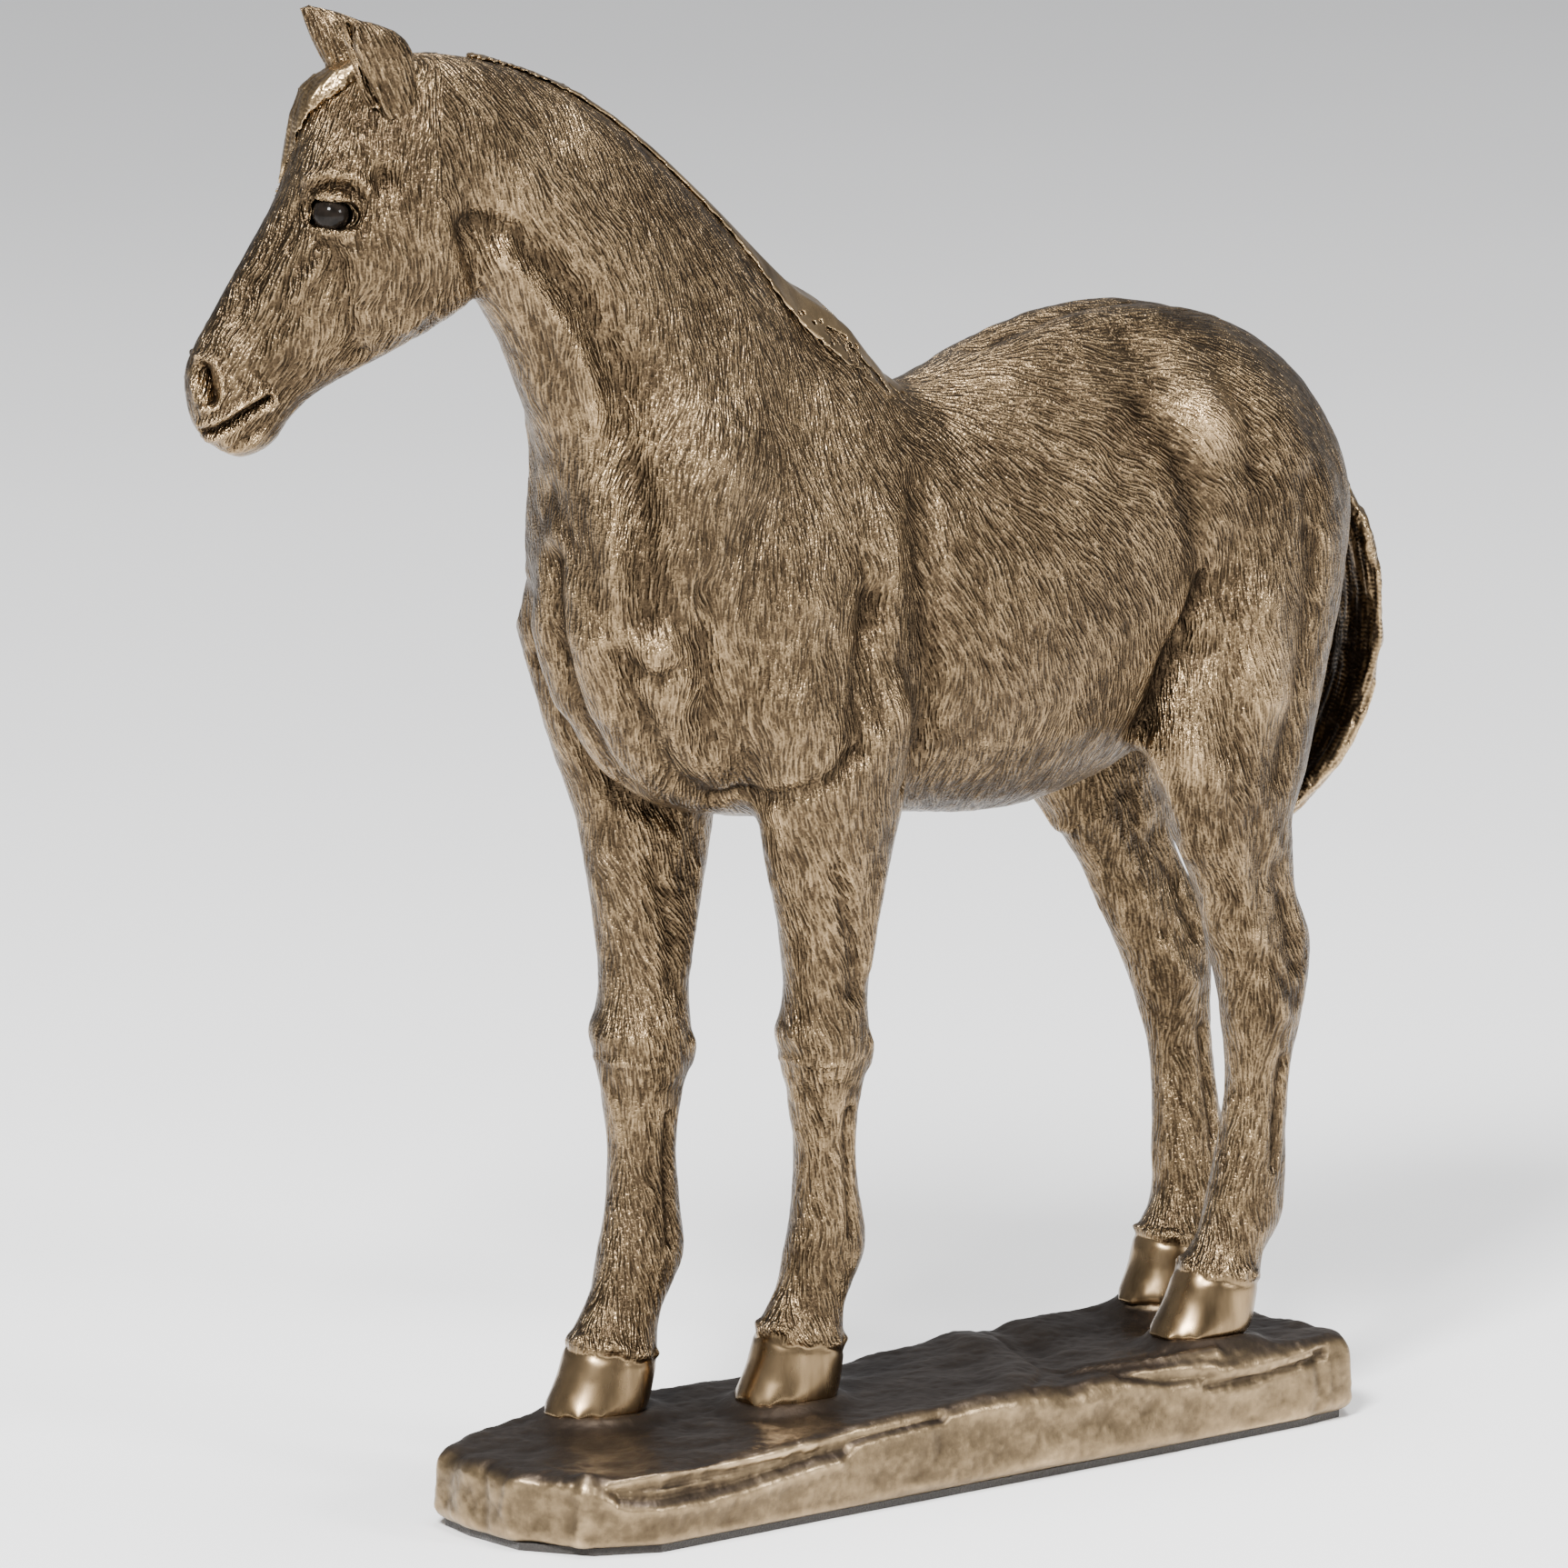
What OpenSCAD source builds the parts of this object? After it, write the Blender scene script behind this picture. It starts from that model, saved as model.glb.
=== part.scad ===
// Standing horse statue: cast bronze sections doweled together and bolted to a rock-shaped base.
// Millimetres. The origin is the centre of the felt's underside, +Z is up, the horse looks along -X,
// its left side is -Y.

/* [Horse] */
// Ground to the top of the croup
horse_h = 167; // [134:1:200]
// Front of the breast to the back of the buttock
horse_len = 154; // [123:1:185]
// Width of the barrel at the middle of the ribs
barrel_w = 48; // [40:1:58]
// Angle that the horse stands turned on the base, to its own right
horse_turn = 3.4; // [0:0.2:6]
// Angle that the head is turned to the horse's right, from its body
head_turn = 26.6; // [0:0.2:30]
// Diameter of the inlaid eye beads
eye_d = 5.6; // [4:0.1:6.5]

/* [Base] */
// Length of the rock base
base_len = 163; // [155:1:195]
// Width of the rock base
base_w = 43; // [38:1:52]
// Thickness of the rock at its front end
base_front_t = 11.6; // [9.6:0.1:14]
// Thickness of the rock at its rear end
base_rear_t = 14; // [11.6:0.1:17]
// Height of the flat seats under the hooves, above the rock around them
seat_h = 0.5; // [0.3:0.1:1.5]
// Thickness of the felt under the base
felt_t = 1.2; // [0.8:0.1:2.5]
// Distance that the felt stays inside the edge of the base
felt_inset = 1.5; // [0.8:0.1:4]

/* [Fastening] */
// Diameter of the threaded stud in each hoof
stud_d = 3; // [2:0.1:3.6]
// Depth of the stud in the hoof
stud_depth = 11; // [8:0.5:12]
// Diameter of the washers
washer_d = 7; // [6:0.1:8.4]
// Thickness of the washers
washer_t = 0.6; // [0.4:0.1:1]
// Width of the nuts across their flats
nut_af = 5.5; // [4.6:0.1:6]
// Thickness of the nuts
nut_t = 2.4; // [1.8:0.1:3]
// Diameter of the dowels in the legs, the barrel and the neck
dowel_d = 4; // [3:0.1:4.8]
// Length of those dowels
dowel_len = 14; // [11:0.5:17]
// Diameter of the pin in the root of the tail
tail_pin_d = 2.4; // [1.8:0.1:2.8]
// Length of that pin
tail_pin_len = 7; // [5:0.5:8.5]
// Diameter of the small pins in the ears, the forelock and the mane
pin_d = 1.2; // [1:0.1:1.5]
// Length of the small pins
pin_len = 5; // [4:0.5:6]
// Clearance round a dowel, pin, stud or bead in its hole
fit_gap = 0.1; // [0.05:0.05:0.2]
// Clearance past each end of a dowel or pin
end_gap = 0.4; // [0.2:0.1:0.8]
// Clearance round a washer in its counterbore
washer_gap = 0.4; // [0.2:0.1:0.6]

/* [Hidden] */

// The stations below are drawn for a horse of this size, and scaled to the sizes above.
DRAWN_H = 167;
DRAWN_LEN = 154;
DRAWN_W = 48;
SX = horse_len / DRAWN_LEN;
SY = barrel_w / DRAWN_W;
SZ = horse_h / DRAWN_H;
AROUND = 28;
LEG_AROUND = 20;

bronze = [0.58, 0.46, 0.31];
bronze_light = [0.72, 0.57, 0.36];
bronze_dark = [0.40, 0.32, 0.23];
steel = [0.66, 0.67, 0.69];

// ---- Ground and stance -------------------------------------------------------------------

// The horse's own origin on the base, whose origin is the felt's centre
horse_at = [-0.9, 5.2];
// Hoof places on the horse's own axes: [x, y] of the middle of each sole.
LEFT_FORE = [-21.2, -5];
RIGHT_FORE = [-50, 6.3];
LEFT_HIND = [55.6, -11.8];
RIGHT_HIND = [67.3, 11.1];

function scaled(p) = [p[0] * SX, p[1] * SY, p[2] * SZ];
function turned(p) = [
    p[0] * cos(horse_turn) + p[1] * sin(horse_turn) + horse_at[0],
    -p[0] * sin(horse_turn) + p[1] * cos(horse_turn) + horse_at[1]
];
function hoof_xy(foot) = turned([foot[0] * SX, foot[1] * SY]);

// The rock's top slopes evenly from its front end to its rear end.
function rock_top(x) = felt_t + base_front_t
    + (base_rear_t - base_front_t) * (x / base_len + 0.5);
function sole_z(foot) = rock_top(hoof_xy(foot)[0]) + seat_h;
// Height zero of the drawn horse: all of its body is measured from here.
ground = felt_t + (base_front_t + base_rear_t) / 2 + seat_h;

// ---- Lofts -------------------------------------------------------------------------------
// A station is [front or top point, back or bottom point, half width, egg, yaw of its width].

function curve(a, b, c, d, t) = 0.5 * (2 * b + (c - a) * t
    + (2 * a - 5 * b + 4 * c - d) * t * t + (3 * b - a - 3 * c + d) * t * t * t);
function pick(list, i) = list[max(0, min(len(list) - 1, i))];
function between(list, i, t) = [for (k = [0 : 4])
    curve(pick(list, i - 1)[k], list[i][k], pick(list, i + 1)[k], pick(list, i + 2)[k], t)];
// Every station, with `steps` - 1 smooth stations put in after each.
function smooth(list, steps) = [
    for (i = [0 : len(list) - 2]) for (j = [0 : steps - 1]) between(list, i, j / steps),
    list[len(list) - 1]
];

function ring_point(s, t) =
    (s[0] + s[1]) / 2 + (s[0] - s[1]) / 2 * cos(t)
    + [sin(s[4]), cos(s[4]), 0] * s[2] * sin(t) * (1 - s[3] * cos(t));
function ring(s, n) = [for (i = [0 : n - 1]) ring_point(s, i * 360 / n)];

// The mean of a list of points
function mean(points) = [for (k = [0 : 2]) [for (p = points) p[k]] * [for (p = points) 1]]
    / len(points);
function total(list, i = 0) = i < len(list) ? list[i] + total(list, i + 1) : [0, 0, 0];
// Twice the area of a ring, as a vector along the way that it turns
function ring_area(points, m) = total([for (i = [0 : len(points) - 1])
    cross(points[i] - m, points[(i + 1) % len(points)] - m)]);

// One closed polyhedron through rings that have equally many points, its two ends closed.
module skin(rings) {
    n = len(rings[0]);
    last = len(rings) - 1;
    middles = [mean(rings[0]), mean(rings[last])];
    first_middle = (last + 1) * n;
    sides = [
        for (i = [0 : last - 1]) for (j = [0 : n - 1])
        let (a = i * n + j, b = i * n + (j + 1) % n, c = a + n, d = b + n)
        each [[a, b, d], [a, d, c]]
    ];
    ends = [
        for (j = [0 : n - 1]) each [
            [first_middle, (j + 1) % n, j],
            [first_middle + 1, last * n + j, last * n + (j + 1) % n]
        ]
    ];
    faces = concat(sides, ends);
    // Faces have to point outwards, whichever way the rings turn.
    backward = ring_area(rings[0], middles[0]) * (middles[1] - middles[0]) > 0;
    polyhedron(
        concat([for (r = rings) each r], middles),
        backward ? [for (f = faces) [f[0], f[2], f[1]]] : faces,
        convexity = 8
    );
}
module loft(stations, n = AROUND) skin([for (s = stations) ring(s, n)]);

// ---- Body and neck -----------------------------------------------------------------------
// Along the back and the belly: [top x, top z, bottom x, bottom z, half width, egg, yaw].

SPINE = [
    [88.8, 132.7, 85.8, 120.7, 6, 0, 0],
    [88.2, 141.6, 82.8, 112.2, 12, 0, 0],
    [83.5, 149.9, 77.4, 102.7, 17, 0, 0],
    [75.9, 157.7, 69.2, 98.7, 20.5, 0, 0],
    [64.5, 163.9, 60, 96.7, 22.5, -0.05, 0],
    [52, 166.8, 50, 95.2, 22.8, -0.05, 0],
    [39, 166.9, 40, 91.2, 22.8, 0, 0],
    [25, 164.1, 26, 88.5, 24, 0.06, 0],
    [12, 159.7, 14, 88.5, 23.8, 0.08, 0],
    [3, 158, 2, 90, 22.2, 0.1, 0],
    [-3.6, 163.2, -12, 91, 20.8, 0.1, 0],
    [-8.6, 169.6, -28, 92.5, 20, 0.12, 0],
    [-13, 172.8, -44, 96.5, 19, 0.14, 0],
    [-17, 174.8, -53, 104.7, 18.6, 0.16, 0],
    [-21, 177.8, -59.3, 118.2, 18.2, 0.16, 0],
    [-26, 182.2, -62, 130.7, 16.8, 0.12, 0],
    [-31, 187, -61.8, 141.7, 14.6, 0.08, 0],
    [-37, 192.8, -62.4, 151.7, 12.8, 0.04, 3],
    [-46, 200.8, -66, 161.7, 11.8, 0, 7],
    [-56, 207.8, -69.8, 170.2, 10.8, 0, 12],
    [-66.5, 212.6, -73.6, 176.7, 10, 0, 17],
    [-75, 215.1, -77, 181.1, 9.4, 0, 22],
    [-80.5, 216.1, -79, 183.3, 9.2, 0, 26.6]
];
BARREL_SEAM = 8;
NECK_SEAM = 16;
POLL = len(SPINE) - 1;
FINE = 2;

function spine_station(s) = [
    [s[0] * SX, crest_y(s[6]), ground + s[1] * SZ],
    [s[2] * SX, crest_y(s[6]), ground + s[3] * SZ],
    s[4] * SY, s[5], s[6] * head_turn / 26.6
];
// The neck bends to the right as it turns.
function crest_y(yaw) = 3 * (yaw / 26.6) * SY * head_turn / 26.6;
spine = smooth([for (s = SPINE) spine_station(s)], FINE);

function part_of(list, from, to) = [for (i = [from * FINE : to * FINE]) list[i]];

// ---- Head --------------------------------------------------------------------------------
// In the head's own plane: [top out, top z, bottom out, bottom z, half width, egg], where out is
// the distance from the poll along the way that the head faces.

HEAD = [
    [-1.9, 216.1, -3.2, 183.3, 9.2, 0],
    [6, 216, -6.6, 178.9, 10, 0.05],
    [13.4, 212.5, -4.6, 176.3, 10.5, 0.08],
    [18.8, 208.1, -0.8, 173.9, 10.6, -0.06],
    [21, 201.7, 4.5, 171.1, 10.4, -0.16],
    [23, 195.3, 9.2, 168.7, 9.2, -0.16],
    [26.2, 189.3, 13.5, 166.5, 7.8, -0.08],
    [29.6, 183.5, 17.2, 164.5, 6.6, -0.02],
    [32.8, 177.9, 20, 162.1, 5.8, 0],
    [35.4, 173.3, 22.2, 159.7, 5.6, -0.05],
    [37.2, 169.3, 23.6, 157.2, 5.8, -0.12],
    [37.4, 165.2, 26, 155.7, 5.5, -0.1],
    [36.6, 160.8, 29, 154.8, 4.6, 0],
    [34.6, 157.8, 31.4, 155.6, 2.4, 0]
];
POLL_X = -82.4;
facing = head_turn;
head_root = [POLL_X * SX, crest_y(26.6), ground];
function head_point(out, z, side = 0) = head_root
    + [-cos(facing) * out * SX, sin(facing) * out * SX, z * SZ]
    + [sin(facing), cos(facing), 0] * side * SY;
function head_station(s) = [
    head_point(s[0], s[1]), head_point(s[2], s[3]), s[4] * SY, s[5], facing
];
// The head's first ring is the neck's last one, so the two castings meet in one plane.
head_loft = smooth(concat([spine[POLL * FINE]], [for (i = [1 : len(HEAD) - 1])
    head_station(HEAD[i])]), FINE);

// ---- Legs --------------------------------------------------------------------------------
// From the sole up: [height, x from the sole's middle, half depth, half width, rise of the front].

FORELEG = [
    [0, 0, 9, 7.4, 0],
    [5, 1.8, 8, 7, 0.4],
    [10, 2.7, 7.2, 6.8, 1.2],
    [14.5, 3.8, 6, 5.4, 1.2],
    [19, 5.6, 6.1, 5.2, 0.8],
    [23.5, 6.9, 7.1, 5.6, 0.4],
    [28, 7, 6.4, 5.2, 0],
    [33, 6.6, 5.6, 4.8, 0],
    [41, 5.9, 5.2, 4.6, 0],
    [48, 5.2, 6, 5.6, 0],
    [54, 4.9, 7, 6.9, 0],
    [59, 4.6, 7.2, 7.2, 0],
    [66, 4.3, 6.8, 6.5, 0],
    [75, 4.1, 8.2, 7, 0],
    [83, 3.6, 10, 7.8, 0],
    [90.2, 3.2, 11.6, 8.6, 0]
];
HINDLEG = [
    [0, 0, 9, 7.4, 0],
    [5, 2.4, 7.8, 6.9, 0.4],
    [9.6, 3.8, 7, 6.6, 1.2],
    [14, 6, 5.9, 5.3, 1.2],
    [18.5, 8.6, 6.9, 5.5, 0.8],
    [23, 9.2, 6.9, 5.3, 0],
    [31, 9.9, 6, 4.8, 0],
    [40, 10.7, 5.5, 4.6, 0],
    [48, 10.8, 6.3, 5.4, 0],
    [56, 10.9, 7.9, 6.2, 0],
    [62, 10.1, 9.2, 6.3, 0],
    [66.5, 8.9, 9.7, 5.9, 0],
    [70.5, 7.4, 9.2, 5.6, 0],
    [76, 5.6, 9.6, 6.2, 0],
    [82, 3.6, 10.9, 7, 0],
    [85.2, 2.6, 11.6, 7.4, 0]
];
// Seams between the legs and the body, above the ground
FORE_SEAM = 90.2;
HIND_SEAM = 85.2;
// Each leg: [sole, lean of x, y at the seam, girth]
LEFT_FORE_LEG = [LEFT_FORE, 0, -12.4, 1];
RIGHT_FORE_LEG = [RIGHT_FORE, 0.139, 13.4, 1.09];
LEFT_HIND_LEG = [LEFT_HIND, 0, -16, 1];
RIGHT_HIND_LEG = [RIGHT_HIND, -0.15, 16.6, 1];

// Height of the sole above or below the horse's mean ground
function sole_drop(leg) = sole_z(leg[0]) - ground;
function leg_station(leg, s, seam) =
    let (
        up = s[0] / seam,
        girth = 1 + (leg[3] - 1) * sin(180 * up),
        z = ground + sole_drop(leg) * (1 - up) + s[0] * SZ,
        x = (leg[0][0] + s[1] + leg[1] * s[0]) * SX,
        y = (leg[0][1] + (leg[2] - leg[0][1]) * pow(up, 1.25)) * SY
    )
    [
        [x - s[2] * girth * SX, y, z + s[4] * SZ], [x + s[2] * girth * SX, y, z - s[4] * SZ],
        s[3] * girth * SY, 0.06, 0
    ];
function leg_loft(leg, list, seam) = smooth([for (s = list) leg_station(leg, s, seam)], FINE);

// Upper arm and thigh above the seams: [height, x from the seam's middle, y out from it, half
// depth, half width]
UPPER_ARM = [
    [0, 0, 0, 11.6, 8.6],
    [6, -0.4, 1, 12.8, 9],
    [14, -1.6, 1.8, 14.4, 9],
    [25, -4, 2, 16, 8],
    [37, -7.2, 1.8, 15.6, 6.8],
    [49, -7.4, 0.8, 12.6, 4.4],
    [58, -5.4, -0.5, 7, 2]
];
THIGH = [
    [0, 0, 0, 11.6, 7.4],
    [6, 0.1, 0.4, 13.7, 8],
    [14, 0, 0, 16.2, 8.6],
    [25, 1.3, -1, 18.5, 9.4],
    [38, 3.9, -2, 19.7, 9.8],
    [51, 4.2, -2.6, 18.4, 9.4],
    [62, 2.4, -3.4, 14, 7.6],
    [71, 0.8, -4.5, 7, 3]
];
function side_of(leg) = leg[2] < 0 ? -1 : 1;
function seam_middle(leg, list, seam) =
    let (s = leg_station(leg, list[len(list) - 1], seam)) (s[0] + s[1]) / 2;
function upper_station(leg, list, seam, s) =
    let (m = seam_middle(leg, list, seam) + [s[1] * SX, side_of(leg) * s[2] * SY, s[0] * SZ])
    [m - [s[3] * SX, 0, 0], m + [s[3] * SX, 0, 0], s[4] * SY, 0.06, 0];
function upper_loft(leg, list, seam, upper) =
    smooth([for (s = upper) upper_station(leg, list, seam, s)], FINE);

// ---- Tail --------------------------------------------------------------------------------
// Outer edge and inner edge from the dock down: [outer x, outer z, inner x, inner z, half width]

TAIL = [
    [86.4, 138.4, 85, 130.8, 3],
    [90.4, 136.1, 88.6, 130.9, 3.6],
    [93.4, 132.7, 90.6, 128.1, 4.8],
    [96.2, 126.1, 92.2, 123.1, 6],
    [98, 116.7, 93.4, 115.3, 6.6],
    [98.2, 106.7, 93, 107.1, 6.6],
    [95.4, 95.7, 90.8, 98.7, 5.8],
    [90.2, 87.1, 87.2, 91.7, 4.6],
    [83.8, 81.3, 82.2, 85.7, 3],
    [78.4, 78.5, 78, 80.1, 1]
];
TAIL_Y = -1;
function tail_station(s) = [
    [s[0] * SX, TAIL_Y * SY, ground + s[1] * SZ], [s[2] * SX, TAIL_Y * SY, ground + s[3] * SZ],
    s[4] * SY, 0, 0
];
tail_loft = smooth([for (s = TAIL) tail_station(s)], FINE);

// ---- Ears, forelock and mane -------------------------------------------------------------
// An ear is lofted from its root to its tip: [out, z, half depth, half width], from the head's plane.

EAR = [
    [4.4, 202.2, 2.6, 1.8],
    [5.4, 207.2, 3.4, 2.4],
    [6.9, 211.7, 4.2, 2.7],
    [7.8, 215.9, 4.7, 2.5],
    [10, 219.5, 3.8, 2],
    [13.6, 222.6, 0.8, 0.6]
];
EAR_SIDE = 5.2;
EAR_SPLAY = 0.12;
// The right ear is pricked further forward, by this at its tip
RIGHT_EAR_LEAN = 4;
function ear_station(s, side) =
    let (
        up = (s[1] - EAR[0][1]) / (EAR[len(EAR) - 1][1] - EAR[0][1]),
        out = s[0] + (side > 0 ? RIGHT_EAR_LEAN * up : 0),
        off = side * (EAR_SIDE + EAR_SPLAY * (s[1] - EAR[0][1])),
        m = head_point(out, s[1], off),
        along = head_point(out + s[2], s[1] - 0.3 * s[2], off) - m
    )
    [m + along, m - along, s[3] * SY, 0, facing];
function ear_loft(side) = smooth([for (s = EAR) ear_station(s, side)], FINE);

// The forelock hangs from between the ears down the forehead: [outer out, outer z, inner out,
// inner z, half width, side]
FORELOCK = [
    [9, 216.4, 8.2, 211.8, 2.6, 0],
    [14.4, 214.6, 12.6, 209.8, 4, 0.4],
    [19.6, 211, 16.6, 205.6, 4.4, 1],
    [21.3, 203.6, 18.8, 200.6, 3.6, 1.4],
    [22.4, 197.2, 20.8, 195.8, 2.2, 1.8],
    [23.8, 193, 22.6, 192.6, 0.8, 2]
];
forelock_loft = smooth([for (s = FORELOCK)
    [head_point(s[0], s[1], s[5]), head_point(s[2], s[3], s[5]), s[4] * SY, 0, facing]], FINE);

// The mane falls over the right side of the crest, and rolls onto its left side near the withers.
// Each ring is a strip of the neck's own ring, between two angles from the top, its outer side lifted.
MANE_FROM = 9;
MANE_TO = POLL - 1;
MANE_STEPS = 18;
MANE_ANGLES = [12, 26, 40, 54, 66, 74];
MANE_LIFT = [0.5, 0.9, 0.9, 1.5, 2, 2.2, 2.1, 1.7, 0.9];
// How far down the left side its near edge lies, in degrees, at each of its steps
MANE_LEFT = [[0, 16], [1.5, 36], [2.5, 39], [5.4, 33], [8, 28], [9.5, 19], [12, 14], [18, 5]];
MANE_SUNK = 1.4;

function spine_at(i) = let (k = min(floor(i * FINE), len(spine) - 2), t = i * FINE - k)
    [for (c = [0 : 4]) spine[k][c] * (1 - t) + spine[k + 1][c] * t];
function mane_place(i) = spine_at(MANE_FROM + (MANE_TO - MANE_FROM) * i / MANE_STEPS);
// A point of a neck ring, moved out of its surface by a distance
function lifted(s, t, out) =
    let (
        tall = norm(s[0] - s[1]) / 2,
        way = across(s) * cos(t) * s[2] + [sin(s[4]), cos(s[4]), 0] * sin(t) * tall
    )
    ring_point(s, t) + way / norm(way) * out;
function mane_ring(i) =
    let (
        s = mane_place(i),
        fall = 0.2 + 0.8 * sin(180 * (i + 0.7) / (MANE_STEPS + 1)),
        left = lookup(i, MANE_LEFT),
        angles = [-left, -left / 2, 0, for (t = MANE_ANGLES) t * fall],
        last = len(angles) - 1
    )
    concat(
        [for (k = [0 : last]) lifted(s, angles[k], MANE_LIFT[k] * fall)],
        [for (k = [last : -1 : 0]) lifted(s, angles[k], -MANE_SUNK)]
    );

// ---- Helpers -----------------------------------------------------------------------------

// Puts the horse's own axes on the base.
module stand() translate([horse_at[0], horse_at[1], 0]) rotate([0, 0, -horse_turn]) children();

// A round rod centred on `at`, along the direction `way`.
module rod(at, way, d, length) {
    turn = atan2(way[1], way[0]);
    tilt = atan2(norm([way[0], way[1]]), way[2]);
    translate(at) rotate([0, tilt, turn]) cylinder(d = d, h = length, center = true, $fn = 32);
}

// ---- Dowels and pins ---------------------------------------------------------------------

FORE_LEGS = [LEFT_FORE_LEG, RIGHT_FORE_LEG];
HIND_LEGS = [LEFT_HIND_LEG, RIGHT_HIND_LEG];
UP = [0, 0, 1];
function middle(s) = (s[0] + s[1]) / 2;
function across(s) = (s[0] - s[1]) / norm(s[0] - s[1]);
function normal(s) = cross([sin(s[4]), cos(s[4]), 0], across(s));

function fore_pins() = [for (leg = FORE_LEGS) [seam_middle(leg, FORELEG, FORE_SEAM), UP]];
function hind_pins() = [for (leg = HIND_LEGS) [seam_middle(leg, HINDLEG, HIND_SEAM), UP]];
function two_pins(s, spread) = [for (k = [-1, 1])
    [middle(s) + across(s) * norm(s[0] - s[1]) * spread * k, normal(s)]];
barrel_pins = two_pins(spine[BARREL_SEAM * FINE], 0.22);
neck_pins = two_pins(spine[NECK_SEAM * FINE], 0.2);
head_pins = [[middle(spine[POLL * FINE]), normal(spine[POLL * FINE])]];

function ear_pin(side) =
    let (
        low = middle(ear_station(EAR[0], side)),
        high = middle(ear_station(EAR[1], side))
    ) [low, (high - low) / norm(high - low)];
ear_pin_list = [ear_pin(-1), ear_pin(1)];
forelock_pin_list = [[head_point(12.6, 211, 0.4), [-cos(facing) * 0.35, sin(facing) * 0.35, 0.94]]];
tail_pin_list = [[[89.4 * SX, TAIL_Y * SY, ground + 133 * SZ], [0.94, 0, -0.34]]];
MANE_PINS = [6, 12];
MANE_PIN_ANGLE = 36;
MANE_PIN_SUNK = 1.6;
mane_pin_list = [for (i = MANE_PINS)
    let (s = mane_place(i)) [
        lifted(s, MANE_PIN_ANGLE, -MANE_PIN_SUNK),
        lifted(s, MANE_PIN_ANGLE, 1) - lifted(s, MANE_PIN_ANGLE, 0)
    ]];

module dowels(list, d = dowel_d, length = dowel_len)
    for (p = list) rod(p[0], p[1], d, length);
module dowel_holes(list, d = dowel_d, length = dowel_len)
    dowels(list, d + 2 * fit_gap, length + 2 * end_gap);

// ---- Eyes --------------------------------------------------------------------------------

EYE = [16, 193];
EYE_SIDE = 7.9;
function eye_at(side) = head_point(EYE[0], EYE[1], side * EYE_SIDE);
module eye_bead(side, gap = 0) translate(eye_at(side)) sphere(d = eye_d + 2 * gap, $fn = 48);

// ---- Parts -------------------------------------------------------------------------------

module front_shape() {
    loft(part_of(spine, BARREL_SEAM, NECK_SEAM));
    for (leg = FORE_LEGS) loft(upper_loft(leg, FORELEG, FORE_SEAM, UPPER_ARM), LEG_AROUND);
}

module rear_shape() {
    loft(part_of(spine, 0, BARREL_SEAM));
    for (leg = HIND_LEGS) loft(upper_loft(leg, HINDLEG, HIND_SEAM, THIGH), LEG_AROUND);
}

module front_body() color(bronze) stand() difference() {
    front_shape();
    dowel_holes(fore_pins());
    dowel_holes(barrel_pins);
    dowel_holes(neck_pins);
}

module rear_body() color(bronze) stand() difference() {
    rear_shape();
    dowel_holes(hind_pins());
    dowel_holes(barrel_pins);
    dowel_holes(tail_pin_list, tail_pin_d, tail_pin_len);
}

module neck() color(bronze) stand() difference() {
    loft(part_of(spine, NECK_SEAM, POLL));
    dowel_holes(neck_pins);
    dowel_holes(head_pins);
    dowel_holes(mane_pin_list, pin_d, pin_len);
}

module head() color(bronze) stand() difference() {
    loft(head_loft);
    dowel_holes(head_pins);
    dowel_holes(ear_pin_list, pin_d, pin_len);
    dowel_holes(forelock_pin_list, pin_d, pin_len);
    for (side = [-1, 1]) eye_bead(side, fit_gap);
}

module ear(side) color(bronze) stand() difference() {
    loft(ear_loft(side), 16);
    loft(head_loft);
    dowel_holes([ear_pin(side)], pin_d, pin_len);
}
module left_ear() ear(-1);
module right_ear() ear(1);

module left_eye() color("black") stand() eye_bead(-1);
module right_eye() color("black") stand() eye_bead(1);

module forelock() color(bronze_light) stand() difference() {
    loft(forelock_loft, 16);
    loft(head_loft);
    dowel_holes(forelock_pin_list, pin_d, pin_len);
}

module mane() color(bronze_light) stand() difference() {
    skin([for (i = [0 : MANE_STEPS]) mane_ring(i)]);
    loft(part_of(spine, BARREL_SEAM, POLL));
    dowel_holes(mane_pin_list, pin_d, pin_len);
}

module tail() color(bronze_light) stand() difference() {
    loft(tail_loft, 16);
    loft(part_of(spine, 0, BARREL_SEAM));
    dowel_holes(tail_pin_list, tail_pin_d, tail_pin_len);
}

module leg(leg, list, seam, holes) color(bronze) difference() {
    stand() difference() {
        loft(leg_loft(leg, list, seam), LEG_AROUND);
        dowel_holes(holes);
    }
    translate([0, 0, sole_z(leg[0])]) stud_place(leg[0])
        cylinder(d = stud_d + 2 * fit_gap, h = 2 * (stud_depth + 0.5), center = true, $fn = 32);
}
module left_foreleg() leg(LEFT_FORE_LEG, FORELEG, FORE_SEAM, fore_pins());
module right_foreleg() leg(RIGHT_FORE_LEG, FORELEG, FORE_SEAM, fore_pins());
module left_hindleg() leg(LEFT_HIND_LEG, HINDLEG, HIND_SEAM, hind_pins());
module right_hindleg() leg(RIGHT_HIND_LEG, HINDLEG, HIND_SEAM, hind_pins());

// ---- Base --------------------------------------------------------------------------------

FEET = [LEFT_FORE, RIGHT_FORE, LEFT_HIND, RIGHT_HIND];
STUD_BACK = 1.6;
seat_d = 14.6;
bore_depth = washer_t + nut_t + 1.4;

module stud_place(foot) {
    at = hoof_xy(foot);
    translate([at[0] + STUD_BACK, at[1], 0]) children();
}

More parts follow.
